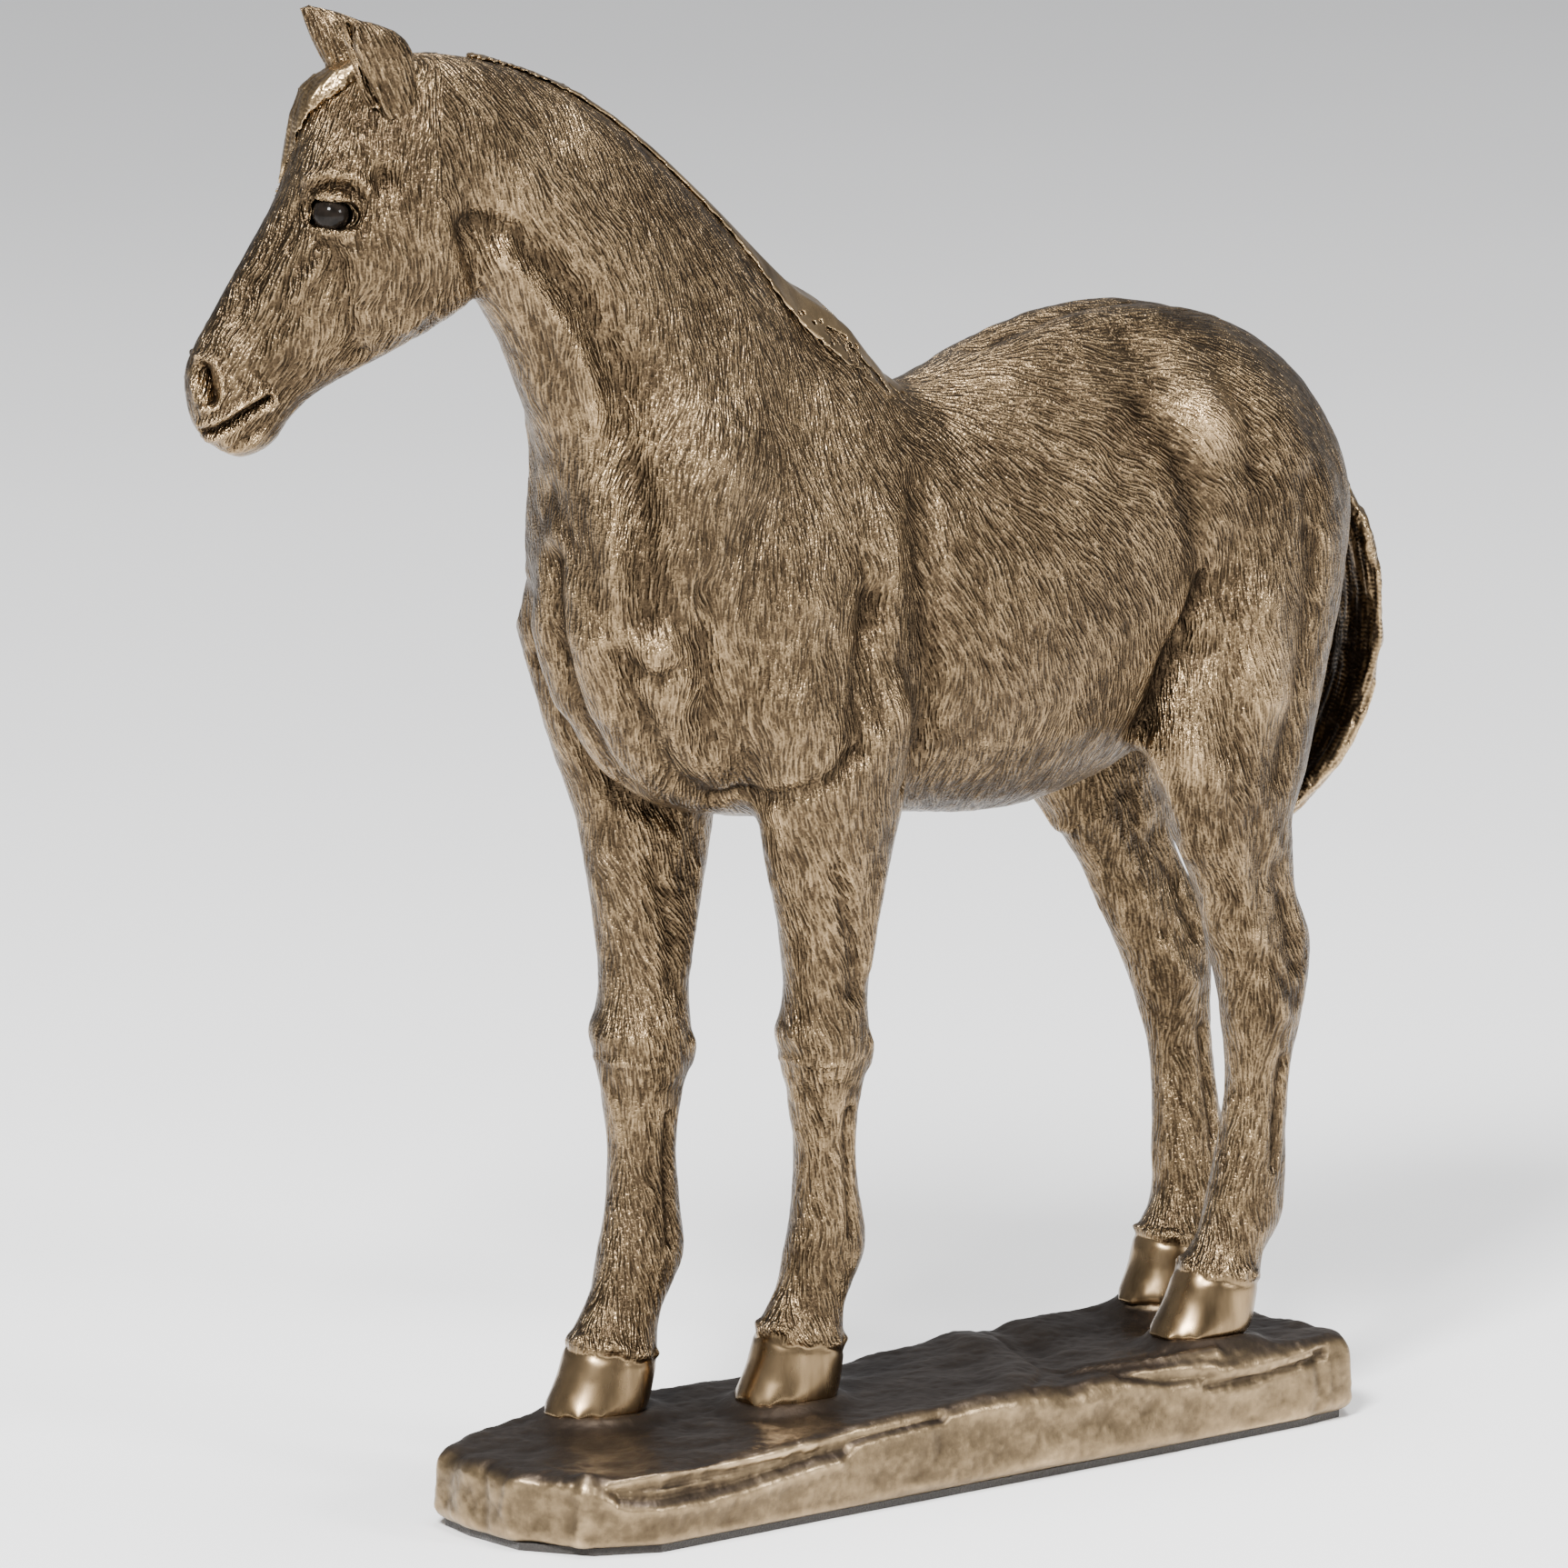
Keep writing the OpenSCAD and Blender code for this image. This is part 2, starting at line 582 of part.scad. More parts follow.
// Outline of the rock: shares of its length and width, and of its height at that edge
ROCK = [
    [-0.4, -0.48, 0.96], [-0.2, -0.48, 1], [0, -0.49, 1], [0.22, -0.5, 1], [0.42, -0.5, 0.98],
    [0.48, -0.47, 0.92], [0.5, -0.34, 0.88], [0.5, 0.15, 0.82], [0.475, 0.4, 0.84],
    [0.4, 0.53, 0.93], [0.3, 0.53, 0.97], [0.1, 0.49, 0.93], [-0.1, 0.52, 0.98],
    [-0.22, 0.57, 1], [-0.34, 0.57, 1], [-0.44, 0.51, 1],
    [-0.49, 0.4, 0.98], [-0.5, 0.2, 0.96], [-0.5, -0.1, 0.94], [-0.46, -0.36, 0.94]
];
// Sides of the rock from its foot up: [share of the height, distance in from the outline]
ROCK_SIDE = [[0, 0.5], [0.12, 0], [0.7, 0.2], [0.9, 0.8], [1, 2.2]];

function rock_point(p, s) =
    let (
        x = p[0] * (base_len - 2 * s[1]),
        y = p[1] * (base_w - 2 * s[1])
    )
    [x, y, felt_t + s[0] * (rock_top(x) - felt_t) * (1 - s[0] * (1 - p[2]))];

module rock() {
    n = len(ROCK);
    last = len(ROCK_SIDE) - 1;
    points = concat(
        [for (s = ROCK_SIDE) for (p = ROCK) rock_point(p, s)],
        [[0, 0, felt_t], [0, 0, rock_top(0)]]
    );
    middle_low = n * len(ROCK_SIDE);
    faces = concat(
        [for (i = [0 : last - 1]) for (j = [0 : n - 1])
            let (a = i * n + j, b = i * n + (j + 1) % n, c = a + n, d = b + n)
            each [[b, a, d], [d, a, c]]],
        [for (j = [0 : n - 1]) each [
            [middle_low, j, (j + 1) % n],
            [middle_low + 1, last * n + (j + 1) % n, last * n + j]
        ]]
    );
    polyhedron(points, faces, convexity = 4);
}

module base_casting() color(bronze_dark) difference() {
    union() {
        rock();
        for (foot = FEET) {
            at = hoof_xy(foot);
            translate([at[0], at[1], felt_t + base_front_t / 2])
                cylinder(d = seat_d, h = sole_z(foot) - felt_t - base_front_t / 2, $fn = 48);
        }
    }
    for (foot = FEET) stud_place(foot) {
        translate([0, 0, felt_t - 1])
            cylinder(d = washer_d + 2 * washer_gap, h = bore_depth + 1, $fn = 48);
        translate([0, 0, felt_t - 1])
            cylinder(d = stud_d + 2 * fit_gap, h = 2 * base_rear_t, $fn = 32);
    }
}

module felt_pad() color([0.12, 0.11, 0.10]) linear_extrude(felt_t)
    polygon([for (p = ROCK)
        [p[0] * (base_len - 2 * felt_inset), p[1] * (base_w - 2 * felt_inset)]]);

module hoof_studs() color(steel) for (foot = FEET) stud_place(foot)
    translate([0, 0, felt_t + bore_depth - washer_t - nut_t - 0.6])
        cylinder(d = stud_d, h = sole_z(foot) + stud_depth - felt_t - bore_depth
            + washer_t + nut_t + 0.6, $fn = 32);

module stud_washers() color(steel) for (foot = FEET) stud_place(foot)
    translate([0, 0, felt_t + bore_depth - washer_t]) difference() {
        cylinder(d = washer_d, h = washer_t, $fn = 40);
        translate([0, 0, -1]) cylinder(d = stud_d + 2 * fit_gap, h = washer_t + 2, $fn = 32);
    }

module stud_nuts() color(steel) for (foot = FEET) stud_place(foot)
    translate([0, 0, felt_t + bore_depth - washer_t - nut_t]) difference() {
        cylinder(d = nut_af / cos(30), h = nut_t, $fn = 6);
        translate([0, 0, -1]) cylinder(d = stud_d + 2 * fit_gap, h = nut_t + 2, $fn = 32);
    }

module foreleg_dowels() color(steel) stand() dowels(fore_pins());
module hindleg_dowels() color(steel) stand() dowels(hind_pins());
module barrel_dowels() color(steel) stand() dowels(barrel_pins);
module neck_dowels() color(steel) stand() dowels(neck_pins);
module head_dowel() color(steel) stand() dowels(head_pins);
module ear_pins() color(steel) stand() dowels(ear_pin_list, pin_d, pin_len);
module forelock_pin() color(steel) stand() dowels(forelock_pin_list, pin_d, pin_len);
module mane_pins() color(steel) stand() dowels(mane_pin_list, pin_d, pin_len);
module tail_pin() color(steel) stand() dowels(tail_pin_list, tail_pin_d, tail_pin_len);

felt_pad();
base_casting();
front_body();
rear_body();
neck();
head();
left_ear();
right_ear();
left_eye();
right_eye();
forelock();
mane();
tail();
left_foreleg();
right_foreleg();
left_hindleg();
right_hindleg();
hoof_studs();
stud_washers();
stud_nuts();
foreleg_dowels();
hindleg_dowels();
barrel_dowels();
neck_dowels();
head_dowel();
ear_pins();
forelock_pin();
mane_pins();
tail_pin();
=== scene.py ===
# %% [markdown]
# # A standing horse statue in cast bronze
# The horse is cast in sections, pinned together, and bolted to a rock. A sculptor first models it
# in clay: big forms, then muscles, then the face, and the coat is combed in last. This script works
# in that order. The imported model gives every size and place, and stays as the fixed frame.

import math
import time

import bmesh
import bpy
import numpy as np
from mathutils import Matrix, Vector
from mathutils.bvhtree import BVHTree


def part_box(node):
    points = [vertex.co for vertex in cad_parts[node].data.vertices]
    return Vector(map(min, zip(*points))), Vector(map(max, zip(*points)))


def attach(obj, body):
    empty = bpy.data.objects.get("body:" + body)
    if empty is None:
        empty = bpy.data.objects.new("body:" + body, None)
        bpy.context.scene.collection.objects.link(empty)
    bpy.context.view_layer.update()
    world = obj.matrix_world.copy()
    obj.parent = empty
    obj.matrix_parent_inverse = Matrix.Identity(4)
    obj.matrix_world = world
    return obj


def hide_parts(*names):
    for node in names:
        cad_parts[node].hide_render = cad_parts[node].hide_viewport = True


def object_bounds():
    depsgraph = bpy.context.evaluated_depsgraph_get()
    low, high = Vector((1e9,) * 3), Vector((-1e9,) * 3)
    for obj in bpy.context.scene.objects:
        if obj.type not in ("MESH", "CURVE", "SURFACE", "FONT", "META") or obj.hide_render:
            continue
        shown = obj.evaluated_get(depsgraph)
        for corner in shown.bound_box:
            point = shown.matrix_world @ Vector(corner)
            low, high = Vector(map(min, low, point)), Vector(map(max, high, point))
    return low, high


started = time.time()
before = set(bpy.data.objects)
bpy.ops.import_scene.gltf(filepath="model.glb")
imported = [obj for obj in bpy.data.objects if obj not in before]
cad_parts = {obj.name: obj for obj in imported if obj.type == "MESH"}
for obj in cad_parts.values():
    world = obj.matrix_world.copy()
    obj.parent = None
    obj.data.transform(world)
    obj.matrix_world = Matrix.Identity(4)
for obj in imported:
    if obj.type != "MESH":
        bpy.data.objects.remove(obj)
cad_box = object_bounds()
print("nodes in the frame:", len(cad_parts))

# %% [markdown]
# The sculptor's measures are taken on the horse itself, in millimetres: x runs from nose to tail, y
# from its left to its right, z up from the ground. One matrix carries them to the rock, where the
# horse stands a little turned. It hangs on the left eye, whose place is known on both sides.

# %% The horse's own axes
MM = 0.001
TURN = math.radians(-3.4)
LEFT_EYE_AT = Vector((-100.24, 3.10, 193.0))


def middle(node):
    low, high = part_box(node)
    return (low + high) / 2


turned = Matrix.Rotation(TURN, 4, "Z")
stand_at = middle("left_eye") - turned @ (LEFT_EYE_AT * MM)
to_row = Matrix.Translation(stand_at) @ turned @ Matrix.Scale(MM, 4)
to_horse = to_row.inverted()
print("the horse stands at", [round(v / MM, 2) for v in stand_at], "mm")

# %% [markdown]
# The head is turned to the right of the body, so it gets axes of its own: how far out from the
# poll, how far to its right, and the height. Brushes on the face are placed with these.

# %% The head's own axes
FACING = math.radians(26.6)
OUT = Vector((-math.cos(FACING), math.sin(FACING), 0))
ACROSS = Vector((math.sin(FACING), math.cos(FACING), 0))
POLL = Vector((-82.4, 3, 0))
BODY_AXES = (Vector((0, 0, 0)), Vector((1, 0, 0)), Vector((0, 1, 0)))
HEAD_AXES = (POLL, OUT, ACROSS)


def place(axes, along, side, up):
    """A point given along, across and up a set of axes, on the horse's own axes"""
    origin, way, across = axes
    return origin + way * along + across * side + Vector((0, 0, up))


print("left eye, from the head's axes:", place(HEAD_AXES, 16, -7.9, 193))

# %% [markdown]
# ## Clay
# Clay is one closed skin over all the castings, so a muscle can run across a seam. A voxel remesh
# gives such a skin. It is done coarsely, smoothed to take the flat facets away, and then
# subdivided, which costs far less than smoothing a fine mesh.

# %% A skin over castings
def copy_of(names, matrix):
    """The CAD meshes of these nodes in one bmesh, with the loose triangles merged"""
    bm = bmesh.new()
    for name in names:
        bm.from_mesh(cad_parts[name].data)
    bm.transform(matrix)
    bmesh.ops.remove_doubles(bm, verts=bm.verts, dist=0.002)
    return bm


def linked(name, data):
    """A new object in the scene"""
    obj = bpy.data.objects.new(name, data)
    bpy.context.scene.collection.objects.link(obj)
    return obj


def modified(mesh, kind, **settings):
    """The mesh after one modifier"""
    obj = linked("block", mesh)
    modifier = obj.modifiers.new("step", kind)
    for name, value in settings.items():
        setattr(modifier, name, value)
    depsgraph = bpy.context.evaluated_depsgraph_get()
    result = bpy.data.meshes.new_from_object(obj.evaluated_get(depsgraph))
    bpy.data.objects.remove(obj)
    bpy.data.meshes.remove(mesh)
    return result


# %% Reading and moving a mesh's points all at once
def read(items, key):
    """A vector of each vertex, normal or face, in one array"""
    values = np.empty(len(items) * 3, np.float32)
    items.foreach_get(key, values)
    return values.reshape(-1, 3).astype(np.float64)


def points(mesh):
    return read(mesh.vertices, "co")


def set_points(mesh, co):
    mesh.vertices.foreach_set("co", co.astype(np.float32).ravel())
    mesh.update()


def normals(mesh):
    return read(mesh.vertex_normals, "vector")


def edge_pairs(mesh):
    values = np.empty(len(mesh.edges) * 2, np.int32)
    mesh.edges.foreach_get("vertices", values)
    return values.reshape(-1, 2)


def neighbour_mean(values, pairs):
    """For each point, the mean of its neighbours' values"""
    n = len(values)
    a, b = pairs[:, 0], pairs[:, 1]
    count = np.maximum(np.bincount(a, minlength=n) + np.bincount(b, minlength=n), 1)
    total = np.empty_like(values)
    for k in range(values.shape[1]):
        total[:, k] = np.bincount(a, values[b, k], n) + np.bincount(b, values[a, k], n)
    return total / count[:, None]


def smoothed(co, pairs, rounds, shrink=0.5, swell=-0.53):
    """Smoothing in pairs of steps, in and out again, so that the form keeps its volume"""
    for _ in range(rounds):
        for share in (shrink, swell):
            co = co + share * (neighbour_mean(co, pairs) - co)
    return co


def clay(names, voxel, rounds, levels, matrix=to_horse):
    """A smooth closed skin over the named castings, in millimetres"""
    bm = copy_of(names, matrix)
    mesh = bpy.data.meshes.new("clay")
    bm.to_mesh(mesh)
    bm.free()
    mesh = modified(mesh, "REMESH", mode="VOXEL", voxel_size=voxel)
    co, pairs = points(mesh), edge_pairs(mesh)
    set_points(mesh, smoothed(co, pairs, rounds))
    if levels:
        mesh = modified(mesh, "SUBSURF", levels=levels, render_levels=levels)
    mesh.shade_smooth()
    print(f"clay over {names[0]}: {len(mesh.polygons)} faces")
    return mesh


# %% [markdown]
# ## Brushes
# A sculpting tool is a path and a soft profile. The path is drawn on the side view and laid on the
# skin by a ray from that side. Points near it move along their normals: inwards for a groove,
# outwards for a ridge. A dab does the same around one point.

# %% Laying a path on the skin
REACH = 80
STEP = 0.8


class Clay:
    """A mesh with the arrays and the tree that the brushes need, and how hard they press"""

    def __init__(self, mesh, press=1.0):
        self.mesh = mesh
        self.press = press
        self.pairs = edge_pairs(mesh)
        self.renew()

    def renew(self):
        self.co = points(self.mesh)
        self.normal = normals(self.mesh)
        bm = bmesh.new()
        bm.from_mesh(self.mesh)
        self.tree = BVHTree.FromBMesh(bm)
        bm.free()

    def commit(self):
        set_points(self.mesh, self.co)
        self.normal = normals(self.mesh)

    def laid(self, stops, side, axes, step):
        """Points of the skin along a path given as (along, up), seen from one side"""
        found = []
        way = axes[2] * -side
        for (a0, z0), (a1, z1) in zip(stops, stops[1:]):
            count = max(1, round(math.hypot(a1 - a0, z1 - z0) / step))
            for k in range(count + 1):
                t = k / count
                start = place(axes, a0 + (a1 - a0) * t, side * REACH, z0 + (z1 - z0) * t)
                hit = self.tree.ray_cast(start, way)[0]
                if hit is not None:
                    found.append(hit)
        return np.array(found)

    def push(self, path, width, height):
        """Moves the skin near a path of points, along its normals"""
        if len(path) == 0:
            return
        reach = 2.6 * width
        near = ((self.co > path.min(0) - reach) & (self.co < path.max(0) + reach)).all(1)
        rows = np.flatnonzero(near)
        gap = np.full(len(rows), np.inf)
        here = self.co[rows]
        for p in path:
            gap = np.minimum(gap, ((here - p) ** 2).sum(1))
        move = self.press * height * np.exp(-gap / width ** 2)
        self.co[rows] += self.normal[rows] * move[:, None]

    def stroke(self, stops, width, height, axes=BODY_AXES, sides=(-1, 1)):
        """A ridge, or with a negative height a groove, on one or both sides"""
        for side in sides:
            self.push(self.laid(stops, side, axes, min(STEP, width / 2)), width, height)

    def dab(self, along, up, width, height, axes=BODY_AXES):
        """A round swelling, or with a negative height a hollow, on both sides"""
        for side in (-1, 1):
            start = place(axes, along, side * REACH, up)
            hit = self.tree.ray_cast(start, axes[2] * -side)[0]
            if hit is not None:
                self.push(np.array([hit]), width, height)


print("brushes ready")

# %% [markdown]
# ## Combed hair
# A coat is short tufts that all lie one way. Noise that is averaged along the lie of the hair
# gives just that: it stays fine across the hair and becomes long along it. The lie changes over
# the body, so it is blended from a few directions that a groom would know.

# %% Noise on a lattice
def lattice(cell, seed):
    """A fixed random number from -1 to 1 for each lattice cell"""
    x, y, z = cell[..., 0], cell[..., 1], cell[..., 2]
    h = x * 73856093 ^ y * 19349663 ^ z * 83492791 ^ seed * 2654435761
    h = (h ^ (h >> 13)) * 1274126177 & 0x7FFFFFFF
    h = (h ^ (h >> 16)) * 1103515245 & 0x7FFFFFFF
    return (h >> 7 & 0xFFFF) / 32767.5 - 1


def noise(co, size, seed):
    """Smooth noise with features of about this size"""
    p = co / size
    low = np.floor(p).astype(np.int64)
    f = p - low
    f = f * f * (3 - 2 * f)
    total = np.zeros(len(co))
    for corner in range(8):
        bits = np.array([corner & 1, corner >> 1 & 1, corner >> 2 & 1])
        weight = np.prod(np.where(bits, f, 1 - f), axis=1)
        total += weight * lattice(low + bits, seed)
    return total


def even(values):
    """The values with a mean of zero and a spread of one"""
    return (values - values.mean()) / max(values.std(), 1e-9)


def combed(co, lie, width, length, seed, samples=9):
    """Noise that is `width` across the lie of the hair and `length` along it"""
    total = np.zeros(len(co))
    for t in np.linspace(-0.5, 0.5, samples):
        total += noise(co + lie * (length * t), width, seed)
    return even(total)


def along_skin(lie, normal):
    """Directions made to lie in the skin"""
    flat = lie - normal * (lie * normal).sum(1)[:, None]
    return flat / np.maximum(np.linalg.norm(flat, axis=1), 1e-6)[:, None]


def blended_lie(co, table, spread):
    """The lie of the hair at each point, from (x, z, lie along x, lie along z)"""
    total = np.zeros((len(co), 3))
    for x, z, dx, dz in table:
        w = np.exp(-((co[:, 0] - x) ** 2 + (co[:, 2] - z) ** 2) / spread ** 2) + 1e-12
        total[:, 0] += w * dx
        total[:, 2] += w * dz
    return total


def wandering(skin, table, spread, size, seeds, share):
    """Gives a skin its lie of the hair, which wanders a little"""
    lie = along_skin(blended_lie(skin.co, table, spread), skin.normal)
    wander = np.stack([noise(skin.co, size, seed) for seed in seeds], 1)
    skin.lie = along_skin(lie + share * wander, skin.normal)


print("combs ready")

# %% [markdown]
# ## The body
# The castings of the body, neck and legs are skinned together. The head's casting is in the skin
# too, for the throat, but the face is made afterwards from a finer skin of its own.

# %% The body's clay
LEGS = ("left_foreleg", "right_foreleg", "left_hindleg", "right_hindleg")
VOXEL = 1.6
body = Clay(clay(("front_body", "rear_body", "neck", "head") + LEGS, VOXEL, 14, 2), 1.45)
print("body points:", len(body.co), "after", round(time.time() - started), "s")

# %% [markdown]
# The muscles are what makes a horse of it: the groove along the throat, the point of the shoulder,
# the long edge behind the upper arm, the point of the hip, the fold of the flank and the stifle.
# Wide soft strokes come first and sharp ones after them.

# %% Muscles of the neck and the shoulder
def sculpt(table):
    """Strokes and dabs of (a path, width, height), where a path of one point is a dab"""
    for stops, width, height in table:
        if len(stops) == 1:
            body.dab(*stops[0], width, height)
        else:
            body.stroke(stops, width, height)


SHOULDER = [
    ([(-79, 190), (-73, 188), (-68, 183), (-62, 177), (-57, 167), (-56, 157), (-55, 146),
      (-55, 136), (-54, 128)], 3.0, -1.4),
    ([(-74, 186), (-68, 178), (-62, 168), (-59, 160)], 2.2, 0.9),
    ([(-60, 156), (-59, 146), (-57, 133)], 2.2, 0.5),
    ([(-66, 205), (-52, 190), (-42, 176), (-40, 162)], 6, -0.7),
    ([(-50, 185), (-46, 170), (-44, 158)], 5, 0.5),
    ([(-41, 151)], 8, 0.9),
    ([(-27, 133)], 9, 1.1),
    ([(-36, 142)], 3.5, -0.5),
    ([(-55, 150), (-53, 138), (-50, 128)], 2.6, -0.5),
    ([(-46, 132), (-44, 122), (-44, 112)], 2.4, -0.6),
    ([(-24, 155)], 8, -0.6),
    ([(-46, 124), (-43, 116), (-42, 108)], 3, -0.9),
    ([(-15, 128), (-19, 119), (-21, 105)], 2.2, -0.8),
    ([(-4, 144), (-5, 134), (-5, 112), (-5, 104)], 3.4, -1.1),
    ([(-4, 142), (-5, 134), (-5, 112), (-5, 103), (-9, 98)], 1.0, -0.8),
    ([(-11, 140), (-12, 126), (-12, 112)], 3.2, 0.8),
    ([(-17, 134), (-17, 122), (-16, 110)], 1.8, -0.5),
    ([(-12, 108)], 6, 1.2),
    ([(-32, 112)], 7, 0.9),
    ([(-52, 123)], 3.6, 0.9),
]
sculpt(SHOULDER)
print("shoulder done")

# %% [markdown]
# The breast faces forwards, where a path seen from the side can't reach, so its folds are given as
# points in space and dropped on the nearest skin.

# %% Folds of the breast
def fold(skin, stops, width, height):
    """A stroke through the skin's nearest points to a path"""
    step = min(STEP, width / 2)
    found = []
    for a, b in zip(stops, stops[1:]):
        a, b = Vector(a), Vector(b)
        count = max(1, round((b - a).length / step))
        found += [skin.tree.find_nearest(a.lerp(b, k / count))[0] for k in range(count + 1)]
    skin.push(np.array(found), width, height)


def folds(stops, width, height):
    """A fold of the body and its mirror on the other side"""
    for flip in (1, -1):
        fold(body, [(x, y * flip, z) for x, y, z in stops], width, height)


folds([(-62, -1, 146), (-61, -5, 138), (-60, -8, 132), (-58, -10, 127)], 2.6, -0.4)
folds([(-55, -12, 120.5), (-51.5, -14, 118.4), (-48, -16, 120.5)], 1.3, -0.5)
folds([(-56, -11, 122), (-55, -11, 116), (-50, -10, 109), (-45, -9, 102), (-37, -8, 97)], 2.2, -0.9)
folds([(-63, 0, 136), (-62, 0, 122), (-57, 0, 108), (-48, 0, 98)], 2.2, -0.9)
folds([(-60, -6, 124), (-57, -6, 114)], 4, 0.8)
folds([(-20, -23, 105), (-24, -22, 101.5), (-28, -20, 99.5), (-33, -14, 97.5), (-36, -8, 97)],
      1.6, -0.7)
print("breast done")

# %% Muscles of the barrel and the quarters
QUARTERS = [
    ([(51, 150)], 4.6, 1.9),
    ([(40, 152), (44, 146), (46, 140), (47, 130), (49, 123)], 3.2, -1.0),
    ([(43, 161)], 5, -0.9),
    ([(57, 157), (60, 150), (59, 142)], 3, -0.6),
    ([(66, 150)], 7, 0.6),
    ([(50, 92)], 4, 0.6),
    ([(49, 124), (46, 117), (43, 111), (41.5, 105), (41, 100)], 1.8, -1.6),
    ([(47, 113)], 4, -1.5),
    ([(46, 98)], 4.5, 0.9),
    ([(59, 120), (60, 106)], 4.5, 0.9),
    ([(70, 138), (69, 122), (66, 106), (62, 92)], 2.6, -0.8),
    ([(54, 130), (52, 112), (52, 98)], 2.6, -0.5),
    ([(41, 103), (43, 97), (46, 89), (50, 79), (55, 66)], 1.3, 0.5),
    ([(20, 160), (36, 165), (50, 165)], 4, 0.3),
]
sculpt(QUARTERS)
folds([(20, 0, 164), (45, 0, 168), (70, 0, 162), (82, 0, 152)], 2.4, -0.6)
folds([(86, 0, 128), (82, 0, 112), (76, 0, 100)], 3, -1.6)
print("quarters done")

# %% [markdown]
# A leg is bone and tendon under thin skin. Its marks are measured from the middle of the leg at
# each height, which is read from the CAD casting, so each leg gets them in its own place.

# %% Marks on the legs
def casting_points(name):
    bm = copy_of((name,), to_horse)
    co = np.array([v.co for v in bm.verts])
    bm.free()
    return co


class Leg:
    """The middle line of a leg's casting"""

    def __init__(self, name):
        co = casting_points(name)
        self.heights = np.arange(2, co[:, 2].max(), 2.0)
        bands = [co[np.abs(co[:, 2] - z) < 2.5] for z in self.heights]
        self.x = [(b[:, 0].min() + b[:, 0].max()) / 2 for b in bands]
        self.y = [(b[:, 1].min() + b[:, 1].max()) / 2 for b in bands]
        self.side = -1 if name.startswith("left") else 1
        self.sole = co[:, 2].min()

    def middle(self, z):
        return Vector((np.interp(z, self.heights, self.x), np.interp(z, self.heights, self.y), z))

    def gap(self, co):
        """How far each point is from the middle line, measured level"""
        x = np.interp(co[:, 2], self.heights, self.x)
        y = np.interp(co[:, 2], self.heights, self.y)
        return np.hypot(co[:, 0] - x, co[:, 1] - y)

    def path(self, stops):
        """A path of (forward of the middle, outward of the middle, height above the sole)"""
        return [self.middle(up + self.sole) + Vector((-ahead, self.side * out, 0))
                for ahead, out, up in stops]


legs = {name: Leg(name) for name in LEGS}

# Each mark: (a path of forward, outward and height above the sole), width, height
FORELEG_MARKS = [
    ([(-1.6, 6, 46), (-1.6, 6, 36), (-1.8, 6, 27)], 1.0, -0.6),
    ([(7, 2, 59), (5, 7, 59)], 2.4, 0.5),
    ([(6, 3, 50), (3, 7, 49.5), (-2, 6, 50)], 1.8, -0.2),
    ([(7, 1, 55.2), (4, 7, 54.4), (1, 7, 54.8)], 0.6, 0.2),
    ([(-6, 6, 57), (-7, 4, 54)], 1.6, 0.6),
    ([(4, 8, 86), (0, 8, 74), (-1, 7, 66)], 1.6, -0.5),
    ([(-5, 7, 84), (-5, 7, 70)], 2, 0.4),
]
HINDLEG_MARKS = [
    ([(-1.6, 6, 44), (-1.6, 6, 34), (-1.8, 6, 27)], 1.0, -0.6),
    ([(-3.4, 6, 76), (-3, 6, 68), (-2.8, 6, 60)], 1.9, -0.7),
    ([(5, 6, 63), (1, 7, 58), (-3, 6, 54)], 1.6, -0.3),
    ([(3, 6, 58), (0, 6, 52)], 2, 0.5),
    ([(5, 5, 80), (4, 6, 72), (4, 6, 64)], 1.8, 0.5),
    ([(0, 8, 84), (0, 7, 74)], 1.8, -0.4),
]

for name, leg in legs.items():
    for stops, width, height in FORELEG_MARKS if "fore" in name else HINDLEG_MARKS:
        for flip in (1, -1):
            path = leg.path([(ahead, out * flip, up) for ahead, out, up in stops])
            fold(body, path, width, height)
print("legs done after", round(time.time() - started), "s")

# %% [markdown]
# A hoof is horn: smooth, with a crisp rim where the hair ends in a ragged fringe. The fringe is a
# ring around the pastern, higher in front than behind.

# %% Hooves
HOOF_FRONT, HOOF_BACK = 11.4, 8.0


def hoof_line(leg, co):
    """Height of each point above the rim of the hoof, negative on the horn"""
    foot = leg.middle(leg.sole + 8)
    ahead = np.clip((foot.x - co[:, 0]) / 8, -1, 1)
    rim = leg.sole + (HOOF_FRONT + HOOF_BACK) / 2 + ahead * (HOOF_FRONT - HOOF_BACK) / 2
    return co[:, 2] - rim - 0.7 * noise(co, 1.9, 5)


def near_leg(leg, co, radius=13):
    foot = leg.middle(leg.sole + 8)
    return (np.hypot(co[:, 0] - foot.x, co[:, 1] - foot.y) < radius) & (co[:, 2] < leg.sole + 26)


body.commit()
horn = np.zeros(len(body.co))
for leg in legs.values():
    near = near_leg(leg, body.co)
    over = hoof_line(leg, body.co[near])
    ragged = np.clip(0.55 + 0.9 * noise(body.co[near], 1.5, 9), 0, 1.4)
    fringe = 0.6 * np.exp(-((over - 0.9) / 1.0) ** 2) * ragged
    rim = -0.15 * np.exp(-((over + 0.6) / 0.6) ** 2)
    body.co[near] += body.normal[near] * (fringe + rim)[:, None]
    horn[near] = np.maximum(horn[near], 1 / (1 + np.exp(over * 6)))
body.commit()
print("horn points:", int((horn > 0.5).sum()))

# %% [markdown]
# The coat is combed last. It fades out on the horn, and its height is kept as an attribute, so the
# finish can leave brown in the strokes and rub the tops bright.

